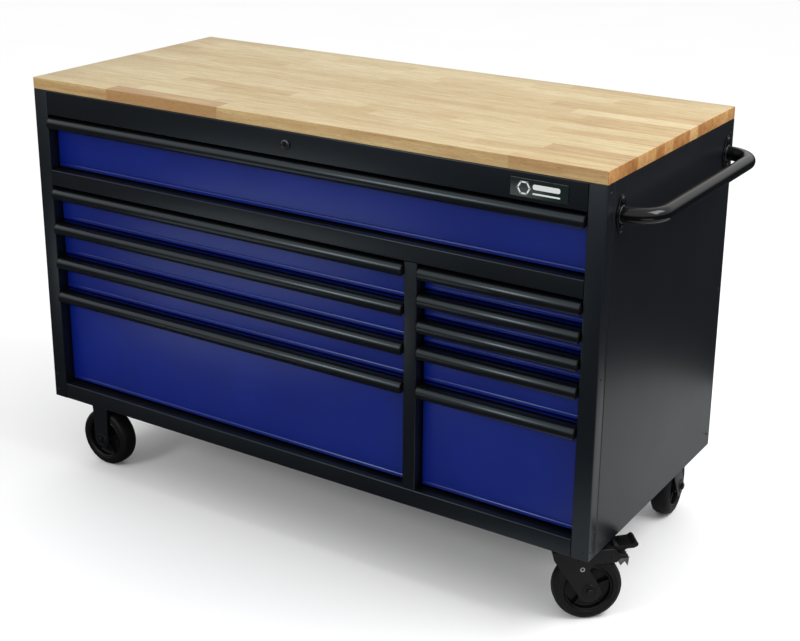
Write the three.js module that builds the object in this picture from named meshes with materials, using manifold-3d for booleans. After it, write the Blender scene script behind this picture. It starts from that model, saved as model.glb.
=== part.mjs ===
// Mobile workbench with ten drawers: sheet-steel cabinet, wooden worktop, push handle and four casters.
// Millimetres, +Z up. The front faces -Y and the push handle is on the +X side.
// Inside the cabinet group, X, Y and Z start at the cabinet's front left bottom corner.

import * as THREE from 'three';
import { mergeVertices } from 'three/addons/utils/BufferGeometryUtils.js';
import Module from 'manifold-3d';

const wasm = await Module();
wasm.setup();

// Cabinet
const CABINET_WIDTH = 1422;
const CABINET_DEPTH = 621;
const CABINET_HEIGHT = 755;
const WORKTOP_THICKNESS = 26;
const WORKTOP_EDGE_ROUND = 1.5;
const GAP = 0.375;
const FRAME_SHEET = 1.5;
const PANEL_SHEET = 1.25;

// Front frame
const CORNER_POST_WIDTH = 38;
const CORNER_POST_WRAP = 30;
const FRAME_RETURN = 40;
const RAIL_RETURN = 30;
const TOP_RAIL_BOTTOM = 699;
const MIDDLE_RAIL_BOTTOM = 533;
const MIDDLE_RAIL_TOP = 570;
const BOTTOM_RAIL_TOP = 38.5;
const CENTRE_POST_LEFT = 996;
const CENTRE_POST_RIGHT = 1026;

// Walls: the side panels step in by the joggle behind the corner posts
const SIDE_JOGGLE = 1.9;
const JOGGLE_START = 4;
const JOGGLE_END = 1;
const SIDE_PANEL_FRONT = 6;
const BACK_FLANGE = 25;
const BASE_SHEET = 2;
const BASE_LIP = 20;
const BASE_FRONT_GAP = 1;
const PARTITION_INSET = 0.5;
const PARTITION_FRONT_GAP = 4;
const PARTITION_BACK_GAP = 28;
const PARTITION_FOOT = 3;

// Drawers
const FRONT_RECESS = 25;
const FRONT_SIDE_GAP = 3;
const FRONT_BOTTOM_GAP = 6;
const PAN_RETURN = 14;
const ROW_PITCH = 84;
const NARROW_ROW_PITCH = 56;
const FIRST_ROW_TOP = 526;
const TOP_DRAWER_TOP = 693;
const TOP_DRAWER_BOTTOM = 574;
const LOWEST_FRONT_BOTTOM = 45;
const TRAY_SIDE_INSET = 16;
const TRAY_BACK = 575;
const TRAY_SHEET = 1.25;
const TRAY_BELOW_FRONT_TOP = 6;
const TRAY_ABOVE_FRONT_BOTTOM = 4;
const DEEP_DRAWER_HEIGHT = 150;
const DEEP_RUNNER_HEIGHT = 60;
const RUNNER_DROP = 1;

// Runners: a channel on the cabinet holds a rail on the drawer
const CHANNEL_HALF_HEIGHT = 17.5;
const CHANNEL_DEPTH = 12;
const CHANNEL_FRONT = 45;
const CHANNEL_BACK = 560;
const RAIL_HALF_HEIGHT = 15.5;
const RAIL_REACH = 10;
const RAIL_FRONT = 60;
const RAIL_BACK = 555;
const UPRIGHT_DEPTH = 40;
const UPRIGHT_FRONTS = [70, 500];
const UPRIGHT_FOOT = 42;

// Drawer handles
const HANDLE_PROUD = 8;
const HANDLE_NOSE_RADIUS = 14;
const HANDLE_HEIGHT = 24;
const HANDLE_WALL = 2.25;
const HANDLE_BACK_FLANGE = 18;
const HANDLE_LIP_INSET = 2.5;
const HANDLE_LIP_HEIGHT = 5;
const HANDLE_CAP = 2;
const HANDLE_CAP_INSET = 0.5;
const HANDLE_NOSE_STEPS = 6;

// Lock
const LOCK_X = 711;
const LOCK_Z = 727;
const LOCK_BARREL_RADIUS = 8.25;
const LOCK_BARREL_FRONT = -2;
const LOCK_BARREL_BACK = 26;
const LOCK_BEZEL_RADIUS = 10;
const LOCK_BEZEL_FRONT = -4;
const KEY_SLOT = { halfWidth: 1, halfHeight: 4, depth: 3 };
const LOCK_SHAFT_RADIUS = 4;
const LOCK_THROW = 9;
const CRANK_FRONT = 590;
const CRANK_ARM = { halfHeight: 5, thickness: 4, pastPin: 5, pastShaft: 6 };
const CRANK_PIN_RADIUS = 2.5;
const CRANK_PIN_BACK = 606;
const LOCK_FRAME_FRONT = 600;
const LOCK_FRAME_SHEET = 3;
const LOCK_FRAME_FOOT = 60;
const LOCK_BRIDGE_HALF_HEIGHT = 14;
const LOCK_BAR_HALF_WIDTH = 20;
const RIGHT_LOCK_BAR_X = 1205;
const SLOT_END_GAP = 1;
const SLOT_SIDE_GAP = 2.5;
const CATCH_SHEET = 2;
const CATCH_ABOVE_RUNNER = 8;
const CATCH_HALF_WIDTH = 15;
const CATCH_LIP = 8;
const CATCH_REACH = 14;
const HOOK = { halfWidth: 12, drop: 12, reach: 4, below: 2 };

// Push handle and badge
const TUBE_RADIUS = 15;
const TUBE_REACH = 65;
const TUBE_BEND = 58;
const PUSH_HANDLE_Z = 688;
const FLANGE_CENTRES_Y = [60, 587];
const FLANGE_BOLT_OFFSET = 28.5;
const FLANGE_THICKNESS = 3;
const FLANGE = { waist: 22, lobe: 9, halfAngle: 0.45, boltHole: 3.5 };
const BADGE = { left: 1227, right: 1346, bottom: 707, top: 743, thickness: 2, corner: 3 };

// Casters
const GROUND_DROP = 178;
const WHEEL_RADIUS = 71;
const HUB = { outside: 24, radius: 16, footRadius: 20, footWidth: 13, rimRadius: 45, rimWidth: 12 };
const TYRE = { innerRadius: 50, innerWidth: 21.5, shoulderRadius: 64, shoulderWidth: 21, treadWidth: 10 };
const AXLE_RADIUS = 5;
const AXLE_CLEARANCE = 0.5;
const AXLE_HEX = { radius: 8, height: 6 };
const LEG_INSIDE = 27;
const LEG_SHEET = 4;
const CASTER_PLATE = { halfLength: 52, halfWidth: 44, thickness: 4, corner: 6, boltInset: 11, boltHole: 4.5 };
const RIGID_LEG = { top: -2, topHalfWidth: 27, endRadius: 21 };
const CASTER_TRAIL = 38;
const RACE_RADIUS = 32;
const RACE_TOP = -2;
const KINGPIN_RADIUS = 7;
const KINGPIN_NUT = { overhang: 4, height: 6 };
const CROWN_TOP = -14.5;
const CROWN_THICKNESS = 5;
const CROWN = { front: -40, pastAxle: 26, halfWidth: 29, corner: 3 };
const THROUGH = 50;
const RIGID_CASTER_X = 105;
const SWIVEL_CASTER_X = 1349;
const CASTER_FRONT_Y = 69;
const CASTER_BACK_Y = 552;
const FRONT_SWIVEL_ANGLE = THREE.MathUtils.degToRad(39.8);
const BACK_SWIVEL_ANGLE = THREE.MathUtils.degToRad(96);
const AXLE_Z = WHEEL_RADIUS - GROUND_DROP;

// The fork's side: wide under the crown, a round end at the axle and an arm under the brake pedal
const FORK_END = { radius: 25, startAngle: Math.PI + 0.24, endAngle: 2 * Math.PI - 0.1 };
const FORK_FRONT_EDGE = [[-42, -15.5], [-37, -34], [14, -113]];
const FORK_BACK_EDGE = [[51, -84], [36, -60]];
const FORK_ARM_CURVE = { control: [46, -47], end: [68, -46] };
const FORK_ARM = [[90, -45], [98, -37], [113, -36], [113, -29.5], [95, -27], [86, -15.5]];

// The brake pedal's side, around its pivot
const PEDAL_PIVOT = { x: 82, z: -33, radius: 3, bore: 3.4 };
const PEDAL_HALF_WIDTH = 21;
const PEDAL_UNDERSIDE = [[-10, -4], [6, -3], [17, 5], [32, 12], [45, 12.5], [53, 16.5]];
const PEDAL_TIP = { control: [55, 22], end: [48, 27] };
const PEDAL_TOP = [[40, 21], [14, 18.5], [4, 23], [-7, 13]];

// Finishes

const finish = (color, roughness, metalness) => new THREE.MeshStandardMaterial({ color, roughness, metalness });
const beech = () => finish(0xdfc496, 0.45, 0);
const blackPowderCoat = () => finish(0x15171b, 0.38, 0.3);
const bluePaint = () => finish(0x141c64, 0.3, 0.2);
const zincSteel = () => finish(0x9b9fa3, 0.35, 0.9);
const darkAluminium = () => finish(0x1b1d21, 0.3, 0.6);
const blackRubber = () => finish(0x121212, 0.75, 0);
const blackPlastic = () => finish(0x0c0c0d, 0.5, 0);

// Solids

const cabinet = new THREE.Group();

function addMesh(group, name, geometry, material) {
  const mesh = new THREE.Mesh(geometry, material);
  mesh.name = name;
  group.add(mesh);
}

function toManifold(geometry) {
  const bare = geometry.clone();
  bare.deleteAttribute('normal');
  bare.deleteAttribute('uv');
  const merged = mergeVertices(bare, 1e-4);
  const vertProperties = new Float32Array(merged.attributes.position.array);
  const triVerts = new Uint32Array(merged.index.array);
  return new wasm.Manifold(new wasm.Mesh({ numProp: 3, vertProperties, triVerts }));
}

function fromManifold(solid) {
  const { vertProperties, triVerts } = solid.getMesh();
  const geometry = new THREE.BufferGeometry();
  geometry.setAttribute('position', new THREE.BufferAttribute(vertProperties, 3));
  geometry.setIndex(new THREE.BufferAttribute(triVerts, 1));
  return geometry;
}

function join(geometries) {
  return fromManifold(geometries.map(toManifold).reduce((whole, piece) => whole.add(piece)));
}

function cut(geometry, tools) {
  const solid = tools.map(toManifold).reduce((whole, tool) => whole.subtract(tool), toManifold(geometry));
  return fromManifold(solid);
}

function block([x0, x1], [y0, y1], [z0, z1]) {
  const geometry = new THREE.BoxGeometry(x1 - x0, y1 - y0, z1 - z0);
  return geometry.translate((x0 + x1) / 2, (y0 + y1) / 2, (z0 + z1) / 2);
}

// The outline of a folded sheet. The path runs along its outer face, with the metal on the left.
function foldedSheet(path, thickness) {
  const outer = path.map(([a, b]) => new THREE.Vector2(a, b));
  const directions = outer.slice(1).map((point, i) => point.clone().sub(outer[i]).normalize());
  const inner = outer.map((point, i) => {
    const before = directions[Math.max(i - 1, 0)];
    const after = directions[Math.min(i, directions.length - 1)];
    const normal = new THREE.Vector2(-before.y - after.y, before.x + after.x).normalize();
    const cosine = normal.x * -before.y + normal.y * before.x;
    return point.clone().addScaledVector(normal, thickness / cosine);
  });
  return new THREE.Shape([...outer, ...inner.reverse()]);
}

// Extrusions along each axis: X takes a (Y, Z) outline, Y takes (X, Z) and Z takes (X, Y).
const AXES = {
  X: [new THREE.Vector3(0, 1, 0), new THREE.Vector3(0, 0, 1), new THREE.Vector3(1, 0, 0)],
  Y: [new THREE.Vector3(1, 0, 0), new THREE.Vector3(0, 0, 1), new THREE.Vector3(0, -1, 0)],
  Z: [new THREE.Vector3(1, 0, 0), new THREE.Vector3(0, 1, 0), new THREE.Vector3(0, 0, 1)],
};

function extrude(shape, axis, from, to, curveSegments = 12) {
  const geometry = new THREE.ExtrudeGeometry(shape, { depth: to - from, bevelEnabled: false, curveSegments });
  geometry.applyMatrix4(new THREE.Matrix4().makeBasis(...AXES[axis]));
  const start = axis === 'Y' ? to : from;
  return geometry.translate(axis === 'X' ? start : 0, axis === 'Y' ? start : 0, axis === 'Z' ? start : 0);
}

// A round bar along Y from y0 to y1.
function barAlongY(radius, y0, y1, x, z, segments = 24) {
  const geometry = new THREE.CylinderGeometry(radius, radius, y1 - y0, segments);
  return geometry.translate(x, (y0 + y1) / 2, z);
}

function roundedRectangle(x0, x1, y0, y1, radius) {
  const shape = new THREE.Shape();
  shape.absarc(x1 - radius, y0 + radius, radius, -Math.PI / 2, 0);
  shape.absarc(x1 - radius, y1 - radius, radius, 0, Math.PI / 2);
  shape.absarc(x0 + radius, y1 - radius, radius, Math.PI / 2, Math.PI);
  shape.absarc(x0 + radius, y0 + radius, radius, Math.PI, 1.5 * Math.PI);
  return shape;
}

// Worktop

function worktopGeometry() {
  const round = WORKTOP_EDGE_ROUND;
  const outline = roundedRectangle(round, CABINET_WIDTH - round, round, CABINET_DEPTH - round, round);
  const depth = WORKTOP_THICKNESS - 2 * round;
  const geometry = new THREE.ExtrudeGeometry(outline, {
    depth, bevelSize: round, bevelThickness: round, bevelSegments: 2, curveSegments: 3,
  });
  return geometry.translate(0, 0, CABINET_HEIGHT + round);
}

addMesh(cabinet, 'worktop', worktopGeometry(), beech());

// Carcass

const FRAME_TOP = CABINET_HEIGHT - GAP;
const BACK_FLANGE_Y = CABINET_DEPTH - PANEL_SHEET - GAP;
const mirrorPath = (path) => path.map(([x, y]) => [CABINET_WIDTH - x, y]).reverse();

function sidePanel(path) {
  return extrude(foldedSheet(path, PANEL_SHEET), 'Z', 0, FRAME_TOP);
}

function frontRail(path) {
  const sides = [CORNER_POST_WIDTH + GAP, CABINET_WIDTH - CORNER_POST_WIDTH - GAP];
  return extrude(foldedSheet(path, FRAME_SHEET), 'X', ...sides);
}

function addCarcass() {
  const leftSide = [
    [BACK_FLANGE, BACK_FLANGE_Y], [0, BACK_FLANGE_Y], [0, CORNER_POST_WRAP + JOGGLE_START],
    [SIDE_JOGGLE, CORNER_POST_WRAP + JOGGLE_END], [SIDE_JOGGLE, SIDE_PANEL_FRONT],
  ];
  addMesh(cabinet, 'side_panel_left', sidePanel(leftSide), blackPowderCoat());
  addMesh(cabinet, 'side_panel_right', sidePanel(mirrorPath(leftSide)), blackPowderCoat());

  const backPanel = block([0, CABINET_WIDTH], [CABINET_DEPTH - PANEL_SHEET, CABINET_DEPTH], [0, FRAME_TOP]);
  addMesh(cabinet, 'back_panel', backPanel, blackPowderCoat());

  const baseFront = FRAME_RETURN + BASE_FRONT_GAP;
  const baseBack = BACK_FLANGE_Y - PANEL_SHEET - GAP;
  const basePath = [[baseFront, BASE_LIP], [baseFront, 0], [baseBack, 0], [baseBack, BASE_LIP]];
  const baseSides = [SIDE_JOGGLE + BASE_SHEET, CABINET_WIDTH - SIDE_JOGGLE - BASE_SHEET];
  const basePanel = extrude(foldedSheet(basePath, BASE_SHEET), 'X', ...baseSides);
  addMesh(cabinet, 'base_panel', basePanel, blackPowderCoat());

  const leftPost = [[0, CORNER_POST_WRAP], [0, 0], [CORNER_POST_WIDTH, 0], [CORNER_POST_WIDTH, FRAME_RETURN]];
  const cornerPost = (path) => extrude(foldedSheet(path, FRAME_SHEET), 'Z', 0, FRAME_TOP);
  addMesh(cabinet, 'corner_post_left', cornerPost(leftPost), blackPowderCoat());
  addMesh(cabinet, 'corner_post_right', cornerPost(mirrorPath(leftPost)), blackPowderCoat());
}

function addFrontRails() {
  const channel = (bottom, top) => [[RAIL_RETURN, top], [0, top], [0, bottom], [RAIL_RETURN, bottom]];
  const lockHole = barAlongY(LOCK_BARREL_RADIUS + GAP, -FRAME_SHEET, 2 * FRAME_SHEET, LOCK_X, LOCK_Z);
  const topRail = cut(frontRail(channel(TOP_RAIL_BOTTOM, FRAME_TOP)), [lockHole]);
  addMesh(cabinet, 'top_rail', topRail, blackPowderCoat());
  addMesh(cabinet, 'middle_rail', frontRail(channel(MIDDLE_RAIL_BOTTOM, MIDDLE_RAIL_TOP)), blackPowderCoat());
  addMesh(cabinet, 'bottom_rail', frontRail(channel(0, BOTTOM_RAIL_TOP)), blackPowderCoat());

  const postPath = [
    [CENTRE_POST_LEFT, FRAME_RETURN], [CENTRE_POST_LEFT, 0],
    [CENTRE_POST_RIGHT, 0], [CENTRE_POST_RIGHT, FRAME_RETURN],
  ];
  const postHeights = [BOTTOM_RAIL_TOP + GAP, MIDDLE_RAIL_BOTTOM - GAP];
  const post = extrude(foldedSheet(postPath, FRAME_SHEET), 'Z', ...postHeights);
  addMesh(cabinet, 'centre_post', post, blackPowderCoat());
}

const PARTITION_LEFT = CENTRE_POST_LEFT + PARTITION_INSET;
const PARTITION_RIGHT = CENTRE_POST_RIGHT - PARTITION_INSET;

function addPartition() {
  const front = FRAME_RETURN + PARTITION_FRONT_GAP;
  const back = CABINET_DEPTH - PARTITION_BACK_GAP;
  const path = [
    [PARTITION_RIGHT, front], [PARTITION_RIGHT, back], [PARTITION_LEFT, back], [PARTITION_LEFT, front],
  ];
  const wall = extrude(foldedSheet(path, PANEL_SHEET), 'Z', PARTITION_FOOT, MIDDLE_RAIL_BOTTOM - GAP);
  addMesh(cabinet, 'centre_partition', wall, blackPowderCoat());
}

addCarcass();
addFrontRails();
addPartition();

// Drawers: each row is one drawer front, from its top edge down to its bottom edge

function columnRows(column, left, right, pitches) {
  let top = FIRST_ROW_TOP;
  return pitches.map((pitch, i) => {
    const last = i === pitches.length - 1;
    const bottom = last ? LOWEST_FRONT_BOTTOM : top - pitch + FRONT_BOTTOM_GAP;
    const row = { name: `${column}_${i + 1}`, left, right, top, bottom };
    top -= pitch;
    return row;
  });
}

const TOP_ROW = {
  name: 'top', left: CORNER_POST_WIDTH, right: CABINET_WIDTH - CORNER_POST_WIDTH,
  top: TOP_DRAWER_TOP, bottom: TOP_DRAWER_BOTTOM,
};
const LEFT_PITCHES = [ROW_PITCH, ROW_PITCH, ROW_PITCH, 0];
const RIGHT_PITCHES = [NARROW_ROW_PITCH, NARROW_ROW_PITCH, NARROW_ROW_PITCH, ROW_PITCH, 0];
const LEFT_ROWS = columnRows('left', CORNER_POST_WIDTH, CENTRE_POST_LEFT, LEFT_PITCHES);
const RIGHT_ROWS = columnRows('right', CENTRE_POST_RIGHT, CABINET_WIDTH - CORNER_POST_WIDTH, RIGHT_PITCHES);
const ROWS = [TOP_ROW, ...LEFT_ROWS, ...RIGHT_ROWS];

const isDeep = (row) => row.top - row.bottom > DEEP_DRAWER_HEIGHT;

function runnerHeight(row) {
  return isDeep(row) ? row.bottom + DEEP_RUNNER_HEIGHT : (row.top + row.bottom) / 2 - RUNNER_DROP;
}

// The height of the catch behind a drawer, which the lock frame holds.
const catchHeight = (row) => runnerHeight(row) + CATCH_ABOVE_RUNNER;

const lockBarX = (row) => (row.left > LOCK_X ? RIGHT_LOCK_BAR_X : LOCK_X);

// A box with a pocket: the pan opens at its back and the tray opens at its top.
function drawerPan(row) {
  const sheet = PANEL_SHEET;
  const sides = [row.left + FRONT_SIDE_GAP, row.right - FRONT_SIDE_GAP];
  const back = FRONT_RECESS + PAN_RETURN;
  const pocket = block(
    [sides[0] + sheet, sides[1] - sheet], [FRONT_RECESS + sheet, back + 1],
    [row.bottom + sheet, row.top - sheet],
  );
  return cut(block(sides, [FRONT_RECESS, back], [row.bottom, row.top]), [pocket]);
}

function drawerTray(row) {
  const sheet = TRAY_SHEET;
  const sides = [row.left + TRAY_SIDE_INSET, row.right - TRAY_SIDE_INSET];
  const bottom = row.bottom + TRAY_ABOVE_FRONT_BOTTOM;
  const top = row.top - TRAY_BELOW_FRONT_TOP;
  const front = FRONT_RECESS + PANEL_SHEET / 2;
  const pocket = block(
    [sides[0] + sheet, sides[1] - sheet], [front + sheet, TRAY_BACK - sheet], [bottom + sheet, top + 1],
  );
  return cut(block(sides, [front, TRAY_BACK], [bottom, top]), [pocket]);
}

function drawerRails(row) {
  const z = runnerHeight(row);
  const left = row.left + TRAY_SIDE_INSET;
  const right = row.right - TRAY_SIDE_INSET;
  const leftPath = [
    [left + 1, z + RAIL_HALF_HEIGHT], [left - RAIL_REACH, z + RAIL_HALF_HEIGHT],
    [left - RAIL_REACH, z - RAIL_HALF_HEIGHT], [left + 1, z - RAIL_HALF_HEIGHT],
  ];
  const rightPath = [
    [right - 1, z - RAIL_HALF_HEIGHT], [right + RAIL_REACH, z - RAIL_HALF_HEIGHT],
    [right + RAIL_REACH, z + RAIL_HALF_HEIGHT], [right - 1, z + RAIL_HALF_HEIGHT],
  ];
  return [leftPath, rightPath].map((path) => (
    extrude(foldedSheet(path, TRAY_SHEET), 'Y', RAIL_FRONT, RAIL_BACK)
  ));
}

function drawerCatch(row) {
  const z = catchHeight(row);
  const x = lockBarX(row);
  const tip = TRAY_BACK + CATCH_REACH;
  const path = [[tip, z - CATCH_LIP], [tip, z + CATCH_SHEET], [TRAY_BACK - 1, z + CATCH_SHEET]];
  return extrude(foldedSheet(path, CATCH_SHEET), 'X', x - CATCH_HALF_WIDTH, x + CATCH_HALF_WIDTH);
}

// The handle's section: a fixing flange, a flat top, a round nose and a turned-in lip, open below.
// The inset moves the outline that far into the metal.
function handlePath(top, inset) {
  const back = FRONT_RECESS - GAP - inset;
  const radius = HANDLE_NOSE_RADIUS - inset;
  const [noseY, noseZ] = [HANDLE_NOSE_RADIUS - HANDLE_PROUD, top - HANDLE_NOSE_RADIUS];
  const nose = Array.from({ length: HANDLE_NOSE_STEPS + 1 }, (_, i) => {
    const angle = Math.PI / 2 * (1 + i / HANDLE_NOSE_STEPS);
    return [noseY + radius * Math.cos(angle), noseZ + radius * Math.sin(angle)];
  });
  const front = inset - HANDLE_PROUD;
  const foot = top - HANDLE_HEIGHT;
  const lip = [[front, foot + HANDLE_LIP_HEIGHT], [front + HANDLE_LIP_INSET, foot]];
  return [[back, top - HANDLE_BACK_FLANGE], [back, top - inset], ...nose, ...lip];
}

function handleGeometry(row) {
  const left = row.left + FRONT_SIDE_GAP;
  const right = row.right - FRONT_SIDE_GAP;
  const capOutline = handlePath(row.top, HANDLE_WALL / 2).slice(0, -1);
  const cap = new THREE.Shape(capOutline.map(([y, z]) => new THREE.Vector2(y, z)));
  return join([
    extrude(foldedSheet(handlePath(row.top, 0), HANDLE_WALL), 'X', left, right),
    extrude(cap, 'X', left + HANDLE_CAP_INSET, left + HANDLE_CAP),
    extrude(cap, 'X', right - HANDLE_CAP, right - HANDLE_CAP_INSET),
  ]);
}

for (const row of ROWS) {
  const pieces = [drawerPan(row), drawerTray(row), ...drawerRails(row), drawerCatch(row)];
  addMesh(cabinet, `drawer_${row.name}`, join(pieces), bluePaint());
  addMesh(cabinet, `handle_${row.name}`, handleGeometry(row), darkAluminium());
}

// Runner racks: uprights on a wall, with one fixed channel for each drawer

// A channel whose web is at x and whose mouth faces the drawer, +1 to the right or -1 to the left.
function fixedChannel(x, z, mouth) {
  const lipX = x + mouth * CHANNEL_DEPTH;
  const path = [
    [lipX, z + mouth * CHANNEL_HALF_HEIGHT], [x, z + mouth * CHANNEL_HALF_HEIGHT],
    [x, z - mouth * CHANNEL_HALF_HEIGHT], [lipX, z - mouth * CHANNEL_HALF_HEIGHT],
  ];
  return extrude(foldedSheet(path, PANEL_SHEET), 'Y', CHANNEL_FRONT, CHANNEL_BACK);
}

// An upright stands on a wall: a folded channel where it bridges a gap, or else a flat strip.
function upright(wallX, faceX, front, top) {
  const back = front + UPRIGHT_DEPTH;
  if (Math.abs(faceX - wallX) < 2 * PANEL_SHEET) {
    return block([Math.min(wallX, faceX), Math.max(wallX, faceX)], [front, back], [UPRIGHT_FOOT, top]);
  }
  const path = [[wallX, front], [faceX, front], [faceX, back], [wallX, back]];
  const outline = foldedSheet(faceX > wallX ? path : path.reverse(), PANEL_SHEET);
  return extrude(outline, 'Z', UPRIGHT_FOOT, top);
}

function rack(webX, wallX, mouth, rows) {
  const top = runnerHeight(rows[0]) + CHANNEL_HALF_HEIGHT / 2;
  const faceX = webX + mouth * PANEL_SHEET / 2;
  const uprights = UPRIGHT_FRONTS.map((front) => upright(wallX, faceX, front, top));
  return join([...uprights, ...rows.map((row) => fixedChannel(webX, runnerHeight(row), mouth))]);
}

const WEB_GAP = 2;
const LEFT_WEB_X = CORNER_POST_WIDTH + WEB_GAP;
const RIGHT_WEB_X = CABINET_WIDTH - LEFT_WEB_X;
const WALL_INSIDE = PANEL_SHEET + GAP;
const CENTRE_WEB_GAP = 1;

function addRacks() {
  const leftRows = [TOP_ROW, ...LEFT_ROWS];
  const rightRows = [TOP_ROW, ...RIGHT_ROWS];
  const centreLeftWeb = PARTITION_LEFT - GAP - CENTRE_WEB_GAP;
  const centreRightWeb = PARTITION_RIGHT + GAP + CENTRE_WEB_GAP;
  const racks = {
    runner_rack_left: rack(LEFT_WEB_X, WALL_INSIDE, 1, leftRows),
    runner_rack_right: rack(RIGHT_WEB_X, CABINET_WIDTH - WALL_INSIDE, -1, rightRows),
    runner_rack_centre_left: rack(centreLeftWeb, PARTITION_LEFT - GAP, -1, LEFT_ROWS),
    runner_rack_centre_right: rack(centreRightWeb, PARTITION_RIGHT + GAP, 1, RIGHT_ROWS),
  };
  for (const [name, geometry] of Object.entries(racks)) {
    addMesh(cabinet, name, geometry, zincSteel());
  }
}

addRacks();

// Lock: the key turns a shaft, whose crank pin lifts the lock frame behind the drawers

function addLockCylinder() {
  const barrel = barAlongY(LOCK_BARREL_RADIUS, LOCK_BARREL_FRONT, LOCK_BARREL_BACK, LOCK_X, LOCK_Z);
  const bezel = barAlongY(LOCK_BEZEL_RADIUS, LOCK_BEZEL_FRONT, -GAP, LOCK_X, LOCK_Z, 32);
  const { halfWidth, halfHeight, depth } = KEY_SLOT;
  const keySlot = block(
    [LOCK_X - halfWidth, LOCK_X + halfWidth], [LOCK_BEZEL_FRONT - 1, depth],
    [LOCK_Z - halfHeight, LOCK_Z + halfHeight],
  );
  addMesh(cabinet, 'lock_cylinder', cut(join([barrel, bezel]), [keySlot]), zincSteel());
}

function addLockShaft() {
  const pinX = LOCK_X - LOCK_THROW;
  const { halfHeight, thickness, pastPin, pastShaft } = CRANK_ARM;
  const shaft = barAlongY(LOCK_SHAFT_RADIUS, LOCK_BARREL_BACK + GAP, CRANK_FRONT + 1, LOCK_X, LOCK_Z, 16);
  const arm = block(
    [pinX - pastPin, LOCK_X + pastShaft], [CRANK_FRONT, CRANK_FRONT + thickness],
    [LOCK_Z - halfHeight, LOCK_Z + halfHeight],
  );
  const pin = barAlongY(CRANK_PIN_RADIUS, CRANK_FRONT + thickness - 1, CRANK_PIN_BACK, pinX, LOCK_Z, 16);
  addMesh(cabinet, 'lock_shaft', join([shaft, arm, pin]), zincSteel());
}

function lockHook(row) {
  const z = catchHeight(row) - CATCH_LIP - HOOK.below;
  const x = lockBarX(row);
  const tip = TRAY_BACK + HOOK.reach;
  const path = [[tip, z], [tip, z - HOOK.drop], [LOCK_FRAME_FRONT + 1, z - HOOK.drop]];
  return extrude(foldedSheet(path, CATCH_SHEET), 'X', x - HOOK.halfWidth, x + HOOK.halfWidth);
}

// Two upright bars hang from a bridge, which has a slot for the crank pin.
function lockFrameOutline() {
  const foot = LOCK_FRAME_FOOT;
  const [bridgeBottom, bridgeTop] = [LOCK_Z - LOCK_BRIDGE_HALF_HEIGHT, LOCK_Z + LOCK_BRIDGE_HALF_HEIGHT];
  const [left, right] = [LOCK_X - LOCK_BAR_HALF_WIDTH, RIGHT_LOCK_BAR_X + LOCK_BAR_HALF_WIDTH];
  const outline = new THREE.Shape();
  outline.moveTo(left, foot);
  outline.lineTo(LOCK_X + LOCK_BAR_HALF_WIDTH, foot);
  outline.lineTo(LOCK_X + LOCK_BAR_HALF_WIDTH, bridgeBottom);
  outline.lineTo(RIGHT_LOCK_BAR_X - LOCK_BAR_HALF_WIDTH, bridgeBottom);
  outline.lineTo(RIGHT_LOCK_BAR_X - LOCK_BAR_HALF_WIDTH, foot);
  outline.lineTo(right, foot);
  outline.lineTo(right, bridgeTop);
  outline.lineTo(left, bridgeTop);
  const halfHeight = CRANK_PIN_RADIUS + SLOT_SIDE_GAP;
  const slotLeft = LOCK_X - LOCK_THROW - CRANK_PIN_RADIUS - SLOT_END_GAP;
  const slotRight = LOCK_X + CRANK_PIN_RADIUS + SLOT_END_GAP;
  const slot = new THREE.Path();
  slot.moveTo(slotLeft, LOCK_Z - halfHeight);
  slot.lineTo(slotRight, LOCK_Z - halfHeight);
  slot.lineTo(slotRight, LOCK_Z + halfHeight);
  slot.lineTo(slotLeft, LOCK_Z + halfHeight);
  outline.holes.push(slot);
  return outline;
}

function addLockFrame() {
  const plate = extrude(lockFrameOutline(), 'Y', LOCK_FRAME_FRONT, LOCK_FRAME_FRONT + LOCK_FRAME_SHEET);
  addMesh(cabinet, 'lock_frame', join([plate, ...ROWS.map(lockHook)]), zincSteel());
}

addLockCylinder();
addLockShaft();
addLockFrame();

// Push handle: a bent tube on two oval flanges

function pushTubeGeometry() {
  const start = CABINET_WIDTH + GAP + FLANGE_THICKNESS + GAP;
  const tubeX = CABINET_WIDTH + TUBE_REACH;
  const bendX = tubeX - TUBE_BEND;
  const [frontY, backY] = FLANGE_CENTRES_Y;
  const bend = (centreY, from) => Array.from({ length: 9 }, (_, i) => {
    const angle = from + Math.PI / 2 * i / 8;
    return [bendX + TUBE_BEND * Math.cos(angle), centreY + TUBE_BEND * Math.sin(angle)];
  });
  const route = [
    [start, frontY],
    ...bend(frontY + TUBE_BEND, -Math.PI / 2),
    [tubeX, (frontY + backY) / 2],
    ...bend(backY - TUBE_BEND, 0),
    [start, backY],
  ];
  const path = new THREE.CatmullRomCurve3(route.map(([x, y]) => new THREE.Vector3(x, y, PUSH_HANDLE_Z)));
  const section = new THREE.Shape().absarc(0, 0, TUBE_RADIUS, 0, 2 * Math.PI);
  return new THREE.ExtrudeGeometry(section, { steps: 36, curveSegments: 7, extrudePath: path });
}

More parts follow.
